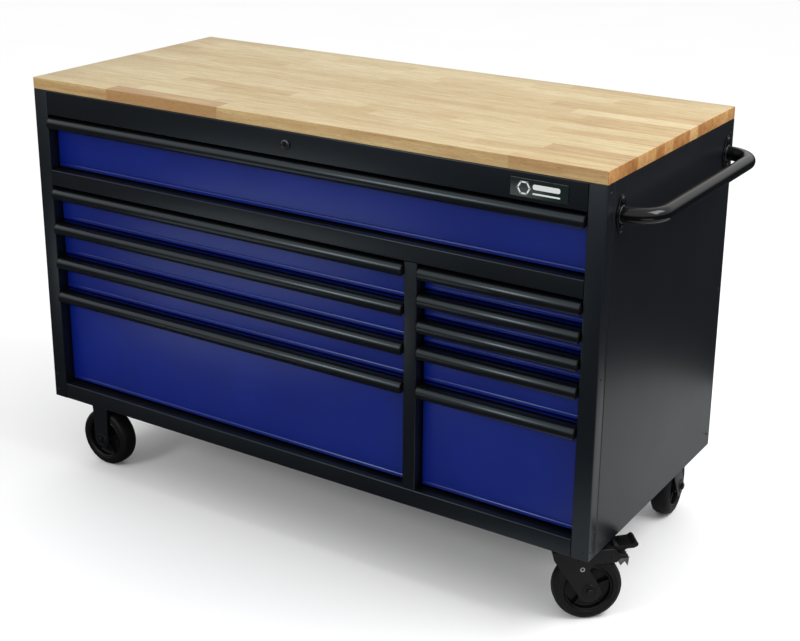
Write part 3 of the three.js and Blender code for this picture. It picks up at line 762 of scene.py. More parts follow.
@dataclass(frozen=True)
class JoinedWood(Finish):
    """Finger-jointed hardwood staves. Each face holds its stave's tone and grain in attributes.

    Attributes:
        tones: The colours from the palest stave to the darkest.
        line: The colour of the grain's dark lines.
        stretch: How the grain is stretched along each axis.
        broad_scale: The scale of the broad figure.
        fine_scale: The scale of the grain's lines.
        pore_scale: The scale of the pores.
        grain_depth: The grain's depth, in metres.
    """

    tones: tuple[tuple[float, Colour], ...]
    line: Colour
    stretch: Place = (0.07, 1, 1)
    broad_scale: float = 75
    fine_scale: float = 260
    pore_scale: float = 1300
    grain_depth: float = 0.00012

    def build(self, nodes: Nodes) -> None:
        """Builds the wood.

        Args:
            nodes: The new material's tree.
        """
        tone = nodes.add("ShaderNodeAttribute", attribute_name="stave_tone").outputs["Fac"]
        stave = nodes.add("ShaderNodeAttribute", attribute_name="stave_shift").outputs["Vector"]
        moved = nodes.add("ShaderNodeVectorMath", operation="ADD")
        nodes.link(nodes.place(self.stretch), moved.inputs[0])
        nodes.link(stave, moved.inputs[1])
        where = moved.outputs["Vector"]
        broad = nodes.noise(self.broad_scale, 6, where)
        fine = nodes.noise(self.fine_scale, 5, where)
        mixed = nodes.add("ShaderNodeMath", operation="MULTIPLY_ADD")
        nodes.link(nodes.range(broad, -0.2, 0.2), mixed.inputs[0])
        mixed.inputs[1].default_value = 1.0
        nodes.link(tone, mixed.inputs[2])
        base = nodes.ramp(mixed.outputs["Value"], self.tones)
        grain = nodes.add("ShaderNodeMix", data_type="RGBA")
        nodes.link(nodes.range(fine, 0.0, 0.5), grain.inputs["Factor"])
        nodes.link(base, grain.inputs["A"])
        grain.inputs["B"].default_value = (*self.line, 1)
        pores = nodes.ramp(nodes.noise(self.pore_scale, 2, where), [(0.32, self.line), (0.4, (1, 1, 1))])
        shaded = nodes.add("ShaderNodeMix", data_type="RGBA", blend_type="MULTIPLY")
        shaded.inputs["Factor"].default_value = 0.5
        nodes.link(grain.outputs["Result"], shaded.inputs["A"])
        nodes.link(pores, shaded.inputs["B"])
        nodes.feed("Base Color", shaded.outputs["Result"])
        nodes.feed("Roughness", nodes.range(fine, 0.38, 0.5))
        nodes.set(Coat_Weight=0.12, Coat_Roughness=0.25)
        nodes.bump(fine, 0.25, self.grain_depth)


# Tints the reflections of the black coat, the blue paint and the handle coat blue-grey: a painted colour of
# reflected light, not a colour of the steel.
PAINTED_REFLECTION_TINT = (0.76, 0.92, 1.0)
BLACK_COAT = Coating(
    "black_powder_coat", (0.0042, 0.0047, 0.0068), (0.0034, 0.0039, 0.0058), (0.33, 0.36), tint=PAINTED_REFLECTION_TINT,
)
GLOSS_COAT = Coating(
    "black_gloss_coat", (0.0024, 0.0025, 0.0028), (0.002, 0.002, 0.0022), (0.12, 0.15),
    peel_scale=260, peel_depth=0.00002, specular=0.3,
)
FORK_COAT = Coating(
    "fork_coat", (0.0028, 0.0029, 0.0034), (0.0022, 0.0023, 0.0026), (0.4, 0.46),
    peel_scale=900, peel_depth=0.00005, specular=0.25,
)
TRAY_COAT = Coating("tray_powder_coat", (0.016, 0.017, 0.02), (0.012, 0.0125, 0.015), (0.38, 0.5))
BLUE_PAINT = Coating(
    "blue_paint", (0.0015, 0.0095, 0.155), (0.0012, 0.0078, 0.135), (0.29, 0.33), tint=PAINTED_REFLECTION_TINT,
)
HANDLE_COAT = Coating(
    "handle_coat", (0.0034, 0.0037, 0.0046), (0.0028, 0.003, 0.004), (0.26, 0.31),
    peel_depth=0.000008, tint=PAINTED_REFLECTION_TINT,
)
LOCK_COAT = Coating(
    "lock_black_nickel", (0.15, 0.155, 0.16), (0.1, 0.105, 0.11), (0.14, 0.22), metallic=1.0,
)
ZINC = PlatedSteel("zinc_steel")
SPRING_STEEL = PlatedSteel("spring_steel", (0.24, 0.245, 0.25), (0.08, 0.082, 0.085))
RUBBER = Moulding("tyre_rubber", (0.0032, 0.0034, 0.004), (0.006, 0.006, 0.0065), (0.42, 0.56))
HUB_PLASTIC = Moulding("hub_plastic", (0.0032, 0.0032, 0.0038), (0.006, 0.006, 0.0065), (0.26, 0.36))
PEDAL_PLASTIC = Moulding("pedal_plastic", (0.0035, 0.0035, 0.004), (0.006, 0.006, 0.0065), (0.3, 0.42))
BADGE_FACE = Coating(
    "badge_face", (0.008, 0.014, 0.0135), (0.007, 0.0125, 0.012), (0.14, 0.2), peel_depth=0.00001,
)
BADGE_TRIM = Coating("badge_trim", (0.6, 0.63, 0.61), (0.55, 0.58, 0.56), (0.3, 0.4), peel_depth=0.00001)
LINER = Moulding("drawer_liner", (0.012, 0.012, 0.013), (0.02, 0.02, 0.02), (0.8, 0.95), 600, 0.0004)
WOOD_FACE = JoinedWood(
    "beech_face",
    (
        (0.0, (0.6, 0.505, 0.285)), (0.4, (0.52, 0.415, 0.212)),
        (0.7, (0.45, 0.32, 0.135)), (1.0, (0.32, 0.175, 0.058)),
    ),
    (0.33, 0.19, 0.075),
)
WOOD_END = JoinedWood(
    "beech_end_grain",
    (
        (0.0, (0.58, 0.37, 0.15)), (0.4, (0.47, 0.25, 0.08)),
        (0.7, (0.36, 0.16, 0.042)), (1.0, (0.24, 0.09, 0.022)),
    ),
    (0.22, 0.08, 0.02), stretch=(1, 1, 1),
)


def dress_node(node: str, finish: Finish, bevel: float = 0.3) -> None:
    """Gives a CAD node that stays in view its finish and soft edges.

    Args:
        node: The CAD node's name.
        finish: Its finish.
        bevel: The width of its edges' bevel, in millimetres.
    """
    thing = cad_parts[node]
    thing.data.materials.clear()
    thing.data.materials.append(finish.material())
    edges = thing.modifiers.new("edges", "BEVEL")
    edges.width = bevel * MM
    edges.segments = 2
    edges.limit_method = "ANGLE"
    edges.angle_limit = SHARP_ANGLE
    log.info("dressed %s", node)


# ---------------------------------------------------------------- worktop


class StaveSkin:
    """A board's skin, whose faces know their staves and share their corners."""

    def __init__(self) -> None:
        """Starts an empty skin."""
        self.mesh = bmesh.new()
        self.stave_layer = self.mesh.faces.layers.int.new("stave")
        self.corners: dict[Place, bmesh.types.BMVert] = {}

    def corner(self, point: Place) -> bmesh.types.BMVert:
        """Gives the vertex at a point, which it makes the first time.

        Args:
            point: The point.

        Returns:
            The vertex.
        """
        x, y, z = point
        key = (round(x, 3), round(y, 3), round(z, 3))
        if key not in self.corners:
            self.corners[key] = self.mesh.verts.new(point)
        return self.corners[key]

    def face(self, points: Sequence[Place], stave: int) -> None:
        """Adds one face of a stave.

        Args:
            points: The face's corners in order.
            stave: The stave's number.
        """
        made = self.mesh.faces.new([self.corner(p) for p in points])
        made[self.stave_layer] = stave

    def upright(self, start: Point, end: Point, z: Span, stave: int) -> None:
        """Adds an upright face of a stave.

        Args:
            start: Where its lower edge starts.
            end: Where its lower edge ends.
            z: Its span along Z.
            stave: The stave's number.
        """
        low, high = z
        self.face([(*start, low), (*end, low), (*end, high), (*start, high)], stave)


@dataclass
class Worktop:
    """The finger-jointed board on top of the cabinet.

    Attributes:
        rows: The number of rows of staves across its depth.
        first: The shortest stave at a row's start, in millimetres.
        shortest: The shortest stave elsewhere.
        longest: The longest stave.
        edge: The width of the rounding along its outer edges.
        tone: The staves' mean tone and its spread.
        darkest: The tone of the darkest stave.
        shift: The furthest that a stave's grain is shifted.
        edge_tone: How much darker the staves are on the board's long edges.
        facing: The least part of a face's normal along an axis that makes it face that way.
        seed: The seed of the staves' lengths and tones.
    """

    rows: int = 15
    first: float = 60
    shortest: float = 170
    longest: float = 420
    edge: float = 1.6
    tone: Span = (0.38, 0.2)
    darkest: float = 0.9
    shift: float = 9
    edge_tone: float = 0.45
    facing: float = 0.7
    seed: int = 11

    def _joints(self, length: float, draw: random.Random) -> list[float]:
        """Cuts one row into staves.

        Args:
            length: The board's length.
            draw: The source of random numbers.

        Returns:
            The places of the joints, with both ends.
        """
        joints = [0.0]
        step = draw.uniform(self.first, self.longest)
        while joints[-1] + step < length - self.shortest / 2:
            joints.append(joints[-1] + step)
            step = draw.uniform(self.shortest, self.longest)
        return [*joints, length]

    def _character(self, draw: random.Random) -> tuple[float, Vector]:
        """Draws one stave's looks.

        Args:
            draw: The source of random numbers.

        Returns:
            The stave's tone and its grain's shift.
        """
        tone = min(max(draw.gauss(*self.tone), 0.0), self.darkest)
        return tone, Vector([draw.uniform(0, self.shift) for _ in range(3)])

    def _shell(self, low: Vector, high: Vector) -> tuple[bmesh.types.BMesh, list[tuple[float, Vector]]]:
        """Builds the board's skin, with a face for each stave.

        Args:
            low: The board's lowest corner.
            high: Its highest corner.

        Returns:
            The mesh, and each stave's tone and grain shift. A face's stave is in its "stave" attribute.
        """
        draw = random.Random(self.seed)
        length, depth = high.x - low.x, high.y - low.y
        lines = [low.y + depth * i / self.rows for i in range(self.rows + 1)]
        rows = [[low.x + x for x in self._joints(length, draw)] for _ in range(self.rows)]
        skin = StaveSkin()
        staves: list[tuple[float, Vector]] = []
        z = (low.z, high.z)
        for r, joints in enumerate(rows):
            below = set(joints) | set(rows[r - 1] if r else joints)
            above = set(joints) | set(rows[r + 1] if r + 1 < self.rows else joints)
            for left, right in zip(joints, joints[1:]):
                stave = len(staves)
                staves.append(self._character(draw))
                near = [(x, lines[r]) for x in sorted(below) if left <= x <= right]
                far = [(x, lines[r + 1]) for x in sorted(above, reverse=True) if left <= x <= right]
                skin.face([(*p, high.z) for p in near + far], stave)
                skin.face([(*p, low.z) for p in (near + far)[::-1]], stave)
                if r == 0:
                    skin.upright((left, low.y), (right, low.y), z, stave)
                if r == self.rows - 1:
                    skin.upright((right, high.y), (left, high.y), z, stave)
                for x in {low.x, high.x} & {left, right}:
                    skin.upright((x, lines[r]), (x, lines[r + 1]), z, stave)
        return skin.mesh, staves

    def _dress(self, data: bpy.types.Mesh, staves: list[tuple[float, Vector]]) -> None:
        """Stores each stave's tone and grain, and puts end grain on the board's ends.

        Args:
            data: The board's mesh.
            staves: Each stave's tone and grain shift.
        """
        data.materials.append(WOOD_END.material())
        numbers = [0] * len(data.polygons)
        data.attributes["stave"].data.foreach_get("value", numbers)
        tones = data.attributes.new("stave_tone", "FLOAT", "FACE")
        shifts = data.attributes.new("stave_shift", "FLOAT_VECTOR", "FACE")
        for i, polygon in enumerate(data.polygons):
            tone, shift = staves[numbers[i]]
            darker = self.edge_tone if abs(polygon.normal.y) > self.facing else 0
            tones.data[i].value = tone + darker
            shifts.data[i].vector = shift
            polygon.material_index = 1 if abs(polygon.normal.x) > self.facing else 0

    def build(self) -> bpy.types.Object:
        """Makes the board.

        Returns:
            The board's object.
        """
        skin, staves = self._shell(*cad_span("worktop"))
        bmesh.ops.recalc_face_normals(skin, faces=skin.faces)
        outer = [e for e in skin.edges if e.calc_face_angle(0) > SHARP_ANGLE]
        bmesh.ops.bevel(skin, geom=outer, offset=self.edge, segments=3, profile=0.5, affect="EDGES")
        workshop = Workshop()
        workshop.absorb(skin)
        board = workshop.piece("worktop_board", WOOD_FACE, Slot.BEECH, "carcass", ["worktop"])
        self._dress(board.data, staves)
        return board


# ---------------------------------------------------------------- carcass


@dataclass
class Carcass:
    """The cabinet's front frame, walls and back, with their rivets.

    Attributes:
        sheet: The frame's sheet thickness.
        bend: The outside radius of the frame's folds.
        wrap: How far the corner posts reach round the sides.
        wall_sheet: The side panels' sheet thickness.
        wall_bend: The outside radius of the side panels' folds.
        joggle: How far a side panel steps in under its post.
        flange: The width of a side panel's back flange.
        ribs: The number of ribs in the back panel.
        rib_half: Half a rib's width.
        rib_margin: From a rib's end to the panel's edge.
        rib_height: How far the ribs stand out.
        rivet: The radius of a rivet's head.
        post_rivets: The heights of the rivets through a post's front.
        back_rivets: The number of rivets along the back panel's edge.
        back_margin: From the back panel's edge to its rivets.
    """

    sheet: float = 1.5
    bend: float = 2.6
    wrap: float = 30
    wall_sheet: float = 1.2
    wall_bend: float = 1.6
    joggle: float = 1.9
    flange: float = 25
    ribs: int = 3
    rib_half: float = 11
    rib_margin: float = 60
    rib_height: float = 2.2
    rivet: float = 3.2
    post_rivets: Span = (17.0, 57.0)
    back_rivets: int = 9
    back_margin: float = 14.0

    def _black(self, workshop: Workshop, name: str, *nodes: str) -> None:
        """Makes a black piece of the carcass that stands for CAD nodes.

        Args:
            workshop: The piece's shapes.
            name: The piece's name.
            nodes: The CAD nodes that it replaces.
        """
        workshop.piece(name, BLACK_COAT, Slot.BLACK, "carcass", nodes)

    def _posts(self) -> None:
        """Makes the corner posts and the centre post."""
        for node in ("corner_post_left", "corner_post_right", "centre_post"):
            low, high = cad_span(node)
            left_end = low.y + self.wrap if node == "corner_post_left" else high.y
            right_end = low.y + self.wrap if node == "corner_post_right" else high.y
            path = [(low.x, left_end), (low.x, low.y), (high.x, low.y), (high.x, right_end)]
            post = Workshop().sheet(path, Axis.Z, (low.z, high.z), self.sheet, self.bend)
            self._black(post, f"{node}_fold", node)

    def _rails(self) -> None:
        """Makes the rails across the front."""
        for name in ("top_rail", "middle_rail", "bottom_rail"):
            low, high = cad_span(name)
            path = [(high.y, high.z), (low.y, high.z), (low.y, low.z), (high.y, low.z)]
            rail = Workshop().sheet(path, Axis.X, (low.x, high.x), self.sheet, self.bend)
            self._black(rail, f"{name}_fold", name)

    def _walls(self) -> None:
        """Makes the side panels."""
        for side, out in (("left", -1), ("right", 1)):
            low, high = cad_span(f"side_panel_{side}")
            face = low.x if out < 0 else high.x
            inner = face - out * self.joggle
            step = [(face, self.wrap + 4), (inner, self.wrap + 0.8)]
            path = [(face - out * self.flange, high.y), (face, high.y), *step, (inner, low.y)]
            path = path if out < 0 else path[::-1]
            wall = Workshop().sheet(path, Axis.Z, (low.z, high.z), self.wall_sheet, self.wall_bend)
            self._black(wall, f"side_panel_{side}_sheet", f"side_panel_{side}")

    def _back(self) -> None:
        """Makes the back panel with its pressed stiffening ribs."""
        low, high = cad_span("back_panel")
        back = Workshop().block((low.x, high.x), (low.y, high.y), (low.z, high.z), 0.3)
        ends = (low.z + self.rib_margin, high.z - self.rib_margin)
        for i in range(1, self.ribs + 1):
            x = low.x + (high.x - low.x) * i / (self.ribs + 1)
            across = (x - self.rib_half, x + self.rib_half)
            outline = rounded_outline(rectangle(across, ends), self.rib_half - 0.5, 6)
            back.extrude(outline, Axis.Y, (high.y - 0.2, high.y + self.rib_height), 1.8, 3)
        self._black(back, "back_panel_sheet", "back_panel")

    def _rivets(self) -> None:
        """Puts rivets and screws where the sheets are joined."""
        rivets = Workshop()
        right, depth, top = cad_span("side_panel_right")[1]
        # The rivets' depths and heights on a side, along its front edge and its back edge.
        near = [(15, top - 18), (20, 57), (10, 17), (15, top / 2)]
        far = [(depth - 12, z) for z in (30, top / 2, top - 30)]
        for x, out in ((0.0, -1), (right, 1)):
            for y, z in (*near, *far):
                rivets.dome(Axis.X, (x, y, z), self.rivet, 1.3, out)
        for x in (12.0, right - 12):
            for z in self.post_rivets:
                rivets.dome(Axis.Y, (x, 0, z), self.rivet * 0.8, 1.0, -1)
        back = cad_span("back_panel")[1].y
        margin, gaps = self.back_margin, self.back_rivets - 1
        for i in range(self.back_rivets):
            x = margin + (right - 2 * margin) * i / gaps
            for z in (margin, top - margin):
                rivets.dome(Axis.Y, (x, back, z), 4, 1.8, 1)
        self._black(rivets, "carcass_rivets")

    def build(self) -> None:
        """Makes and dresses the whole carcass."""
        self._posts()
        self._rails()
        self._walls()
        self._back()
        self._rivets()
        for node in ("base_panel", "centre_partition"):
            dress_node(node, BLACK_COAT)
        for side in ("left", "right", "centre_left", "centre_right"):
            dress_node(f"runner_rack_{side}", ZINC)


# ---------------------------------------------------------------- drawers


@dataclass
class Drawer:
    """One drawer: its blue front, tray, slide rails, liner and handle.

    Attributes:
        name: The drawer's place, such as left_1.
        tray_inset: From the front's end to the tray's wall.
        tray_back: The tray's back, in the cabinet's frame.
        crease: The height of the crease above the front's bottom edge.
        crease_depth: How far the crease is pressed in.
        sheet: The sheet thickness of the front and the tray.
        pan_depth: How far the front's edges are folded back.
        end_gap: The room that the front's end folds take.
        hem: The radius of the rolled hems along the tray's walls.
        rail_half: Half the height of a slide rail.
        rail_reach: How far a slide rail stands out from its wall.
        rail_span: Where the slide rails start and end.
        deep: The height above which a drawer counts as deep.
        deep_rail: The height of a deep drawer's rails above its bottom edge.
        catch_half: Half the width of the catch behind the tray.
        catch_reach: How far the catch stands out.
        nose: The radius of the handle's nose.
        handle_sheet: The handle's thickness.
        cap: The thickness of the handle's end caps.
    """

    name: str
    tray_inset: float = 13
    tray_back: float = 575
    crease: float = 8.5
    crease_depth: float = 1.3
    sheet: float = 1.2
    pan_depth: float = 13.5
    end_gap: float = 0.9
    hem: float = 1.7
    rail_half: float = 15.5
    rail_reach: float = 10
    rail_span: Span = (60, 555)
    deep: float = 150
    deep_rail: float = 60
    catch_half: float = 15
    catch_reach: float = 14
    nose: float = 14
    handle_sheet: float = 2.2
    cap: float = 2

    def __post_init__(self) -> None:
        """Reads the drawer's sizes from its CAD nodes."""
        low, high = cad_span(f"drawer_{self.name}")
        self.left, self.right = low.x, high.x
        self.front, self.bottom, self.top = low.y, low.z, high.z
        self.handle_low, self.handle_high = cad_span(f"handle_{self.name}")
        self.body = f"drawer_{self.name}"
        deep = self.top - self.bottom > self.deep
        self.rail_height = self.bottom + self.deep_rail if deep else (self.top + self.bottom - 2) / 2

    def _pan(self) -> None:
        """Makes the folded front with its crease."""
        front, low, top, gap = self.front, self.bottom, self.top, self.end_gap
        back, middle = front + self.pan_depth, low + self.crease
        pressed = front + self.crease_depth
        groove = [
            (front, middle + 1.8), (pressed, middle + 0.4), (pressed, middle - 0.2), (front, middle - 2),
        ]
        path = [(back, top), (front, top), *groove, (front, low), (back, low)]
        pan = Workshop()
        outline = sheet_outline(path, self.sheet, 1.5)
        pan.extrude(outline, Axis.X, (self.left + gap, self.right - gap), 0.5, 3)
        for x in ((self.left, self.left + self.sheet), (self.right - self.sheet, self.right)):
            pan.block(x, (front + gap, back), (low + gap, top - gap), 0.5, 3)
        pan.piece(f"drawer_front_{self.name}", BLUE_PAINT, Slot.BLUE, self.body, [f"drawer_{self.name}"])

    def _tray(self) -> None:
        """Makes the tray with hemmed walls."""
        left, right = self.left + self.tray_inset, self.right - self.tray_inset
        bottom, top = self.bottom + 4, self.top - 6
        front, back = self.front + 1.6, self.tray_back
        tray = Workshop()
        walls = [(left, top), (left, bottom), (right, bottom), (right, top)]
        tray.sheet(walls, Axis.Y, (front, back), self.sheet, 2.2)
        tray.block((left, right), (back - self.sheet, back), (bottom + 0.4, top), 0.3)
        for x in (left + 1.6, right - 1.6):
            tray.extrude(arc((x, top - 1.4), self.hem, 0, 324, 9), Axis.Y, (front, back))
        tray.extrude(arc((back - 1.6, top - 1.4), self.hem, 0, 324, 9), Axis.X, (left, right))
        tray.piece(f"drawer_tray_{self.name}", TRAY_COAT, Slot.BLUE, self.body)
        thick = (bottom + 1.4, bottom + 4)
        liner = Workshop().block((left + 3, right - 3), (front + 4, back - 5), thick, 0.5)
        liner.piece(f"drawer_liner_{self.name}", LINER, Slot.PLASTIC, self.body)

    def _rails(self) -> None:
        """Makes the slide rails and the catch that the lock holds."""
        z, half = self.rail_height, self.rail_half
        rails = Workshop()
        for wall, out in ((self.left + self.tray_inset, -1), (self.right - self.tray_inset, 1)):
            outer = wall + out * self.rail_reach
            start, end = z - out * half, z + out * half
            path = [(wall, start), (outer, start), (outer, end), (wall, end)]
            rails.sheet(path, Axis.Y, self.rail_span, self.sheet, 3)
        low, high = cad_span("lock_cylinder")
        x = (low.x + high.x) / 2
        if self.left > x:
            x = (self.left + self.right) / 2
        tip, level = self.tray_back + self.catch_reach, z + 10
        catch = [(tip, level - 10), (tip, level), (self.tray_back - 0.6, level)]
        rails.sheet(catch, Axis.X, (x - self.catch_half, x + self.catch_half), 2, 2.6)
        rails.piece(f"drawer_rails_{self.name}", ZINC, Slot.ZINC, self.body)

    def _handle(self) -> None:
        """Makes the handle: a flat top, a round nose and a turned-in lip, with a cap at each end."""
        low, high = self.handle_low, self.handle_high
        nose = arc((low.y + self.nose, high.z - self.nose), self.nose, 90, 180, 14)
        foot = [(low.y, high.z - 19), (low.y + 2.5, high.z - 24)]
        path = [(high.y, high.z - 18), (high.y, high.z), *nose, *foot]
        outline = path + offset_path(path, self.handle_sheet)[::-1]
        under_cap = self.cap - 0.1
        bar = Workshop().extrude(outline, Axis.X, (low.x + under_cap, high.x - under_cap), 0.35)
        bar.piece(f"handle_bar_{self.name}", HANDLE_COAT, Slot.HANDLE, self.body, [f"handle_{self.name}"])
        caps = Workshop()
        for span in ((low.x, low.x + self.cap), (high.x - self.cap, high.x)):
            caps.extrude(path, Axis.X, span, 0.5)
        caps.piece(f"handle_caps_{self.name}", PEDAL_PLASTIC, Slot.HANDLE, self.body)

    def build(self) -> None:
        """Makes and dresses the drawer."""
        self._pan()
        self._tray()
        self._rails()
        self._handle()


# ---------------------------------------------------------------- lock, badge and push handle


@dataclass
class Lock:
    """The lock in the top rail, with its shaft and the frame behind the drawers.

    Attributes:
        radius: The bezel's outer radius.
        width: The bezel's width.
    """

    radius: float = 10.4
    width: float = 3.2

    def build(self) -> None:
        """Makes the bezel and dresses the lock's CAD nodes."""
        low, high = cad_span("lock_cylinder")
        centre = ((low.x + high.x) / 2, low.y, (low.z + high.z) / 2)
        rim, bore = self.radius, self.radius - self.width
        ring = [(bore, 0.4), (rim - 2.6, -0.4), (rim - 1.2, -0.6), (rim, 0.8), (rim, 3.4), (bore, 3.4)]
        bezel = Workshop().lathe(ring, Axis.Y, centre, 56)
        bezel.piece("lock_bezel", LOCK_COAT, Slot.ZINC, "carcass")
        dress_node("lock_cylinder", LOCK_COAT, 0.25)
        dress_node("lock_shaft", ZINC)
        dress_node("lock_frame", ZINC)


@dataclass
class Badge:
    """The plain badge on the top rail: a nut and two bars, with no lettering.

    Attributes:
        margin: From the plate's left edge to the nut.
        nut: The radius of the nut's corners.
        line: Half the width of the nut's outline.
        raised: How far the pattern stands out.
        bars: Each bar's height above the middle and half its width.
    """

    margin: float = 16
    nut: float = 12.5
    line: float = 1.5
    raised: float = 0.35
    bars: tuple[Span, ...] = ((4.5, 5.0), (-8.5, 1.6))

    def _pattern(self, low: Vector, high: Vector) -> Workshop:
        """Cuts the pattern's shapes.

        Args:
            low: The plate's lowest corner.
            high: Its highest corner.

        Returns:
            The pattern's shapes.
        """
        pattern = Workshop()
        depth = (low.y - self.raised, low.y + 0.3)
        middle = (low.z + high.z) / 2
        nut_x = low.x + self.margin + self.nut
        corners = [Vector(p) for p in arc((nut_x, middle), self.nut, 0, 300, 5)]
        for start, end in zip(corners, corners[1:] + corners[:1]):
            along = (end - start).normalized() * self.line
            side = Vector((-along.y, along.x))
            strip = [start - side - along, end - side + along, end + side + along, start + side - along]
            pattern.extrude([(p.x, p.y) for p in strip], Axis.Y, depth, 0.1)
        left, right = nut_x + self.nut + 6, high.x - self.margin
        for height, half in self.bars:
            z = middle + height
            bar = rounded_outline(rectangle((left, right), (z - half, z + half)), half * 0.9, 4)
            pattern.extrude(bar, Axis.Y, depth, 0.1)
        return pattern

    def build(self) -> None:
        """Makes the plate and its raised pattern."""
        low, high = cad_span("badge_plate")
        face = rounded_outline(rectangle((low.x, high.x), (low.z, high.z)), 3, 5)
        plate = Workshop().extrude(face, Axis.Y, (low.y, high.y), 0.7, 3)
        plate.piece("badge_face", BADGE_FACE, Slot.BADGE, "carcass", ["badge_plate"])
        self._pattern(low, high).piece("badge_pattern", BADGE_TRIM, Slot.BADGE, "carcass")


@dataclass
class PushHandle:
    """The bent tube on the cabinet's right side, its flanges and bolts.

    Attributes:
        bend: The radius of the bends' centre line.
        bolt_offset: From a flange's centre to its bolts.
        waist: The radius of a flange's middle.
        lobe: The radius of a flange's ends.
        bead: The radius of a weld's bead.
        bolt: The radius of a bolt's head.
    """

    bend: float = 58
    bolt_offset: float = 28.5
    waist: float = 22
    lobe: float = 9.2
    bead: float = 1.9
    bolt: float = 6.2

    def _route(self, low: Vector, high: Vector, radius: float) -> list[Vector]:
        """Draws the tube's centre line.

        Args:
            low: The lowest corner of the CAD tube's box.
            high: Its highest corner.
            radius: The tube's radius.

        Returns:
            The centre line's points.
        """
        z = (low.z + high.z) / 2
        reach = high.x - radius
        near, far = low.y + radius, high.y - radius
        front = arc((reach - self.bend, near + self.bend), self.bend, -90, 0, 16)
        back = arc((reach - self.bend, far - self.bend), self.bend, 0, 90, 16)
        points = [(low.x, near), *front, *back, (low.x, far)]
        return [Vector((x, y, z)) for x, y in points]

    def _foot(self, end: str, face: float, y: float, z: float) -> None:
        """Makes one flange.

        Args:
            end: The flange's end of the tube, front or back.
            face: The place of its outer face along X.
            y: The place of its centre along Y.
            z: The place of its centre along Z.
        """
        back = cad_span(f"push_handle_flange_{end}")[0].x - 0.3
        over, under = (y, z + self.bolt_offset), (y, z - self.bolt_offset)
        outline = [
            *arc((y, z), self.waist, -24, 24, 8), *arc(over, self.lobe, 24, 156, 10),
            *arc((y, z), self.waist, 156, 204, 8), *arc(under, self.lobe, 204, 336, 10),
        ]
        foot = Workshop().extrude(outline, Axis.X, (back, face), 0.9, 3)
        node = f"push_handle_flange_{end}"
        foot.piece(f"push_handle_foot_{end}", GLOSS_COAT, Slot.BLACK, "carcass", [node])

    def build(self) -> None:
        """Makes the tube, the flanges, the weld beads and the bolts."""
        low, high = cad_span("push_handle_tube")
        radius = (high.z - low.z) / 2
        tube = Workshop().tube(self._route(low, high, radius), radius, 40)
        tube.piece("push_handle_bar", GLOSS_COAT, Slot.BLACK, "carcass", ["push_handle_tube"])
        bolts, welds = Workshop(), Workshop()
        for end in ("front", "back"):
            low, high = cad_span(f"push_handle_flange_{end}")
            face, y, z = high.x, (low.y + high.y) / 2, (low.z + high.z) / 2
            self._foot(end, face, y, z)
            welds.lathe(arc((radius + 0.3, face + 0.8), self.bead, 0, 330, 11), Axis.X, (0, y, z), 40)
            for side in (-1, 1):
                bolts.dome(Axis.X, (face, y, z + side * self.bolt_offset), self.bolt, 3.2, 1)
        welds.piece("push_handle_welds", BLACK_COAT, Slot.BLACK, "carcass")
        bolts.piece("push_handle_bolts", BLACK_COAT, Slot.BLACK, "carcass")


# ---------------------------------------------------------------- casters


class Steering(Enum):
    """How a caster is mounted."""

    RIGID = "rigid"
    SWIVEL = "swivel"


# One side of the tyre and of the hub, as the radius and the distance along the axle.
TYRE_SIDE = (
    (49.5, 19.0), (51.5, 21.6), (55.5, 22.4), (56.6, 21.2), (61.5, 21.4), (62.7, 20.0), (67.5, 17.6),
)
HUB_SIDE = (
    (5.6, 23.5), (11, 24), (12, 23), (15, 23), (17, 21), (18.5, 10), (22, 8), (41, 8), (44.5, 10),
    (46, 19.5), (48, 20.8), (49.6, 19.4),
)
# The race under a swivel caster's plate, as the radius and the height.
SWIVEL_RACE = (
    (0, -2), (33, -2), (34.5, -5), (34, -10.5), (31, -14), (7, -14), (7, -19.9), (11, -19.9),
    (11, -25.5), (0, -25.5),
)
# The side of the brake pedal, as seen from its pivot.
PEDAL_SIDE = (
    (-10, -4), (6, -3), (17, 5), (32, 12), (45, 12.5), (53, 16.5), (54, 22), (48, 26.5), (40, 21),
    (14, 18.5), (4, 22.5), (-7, 13),
)


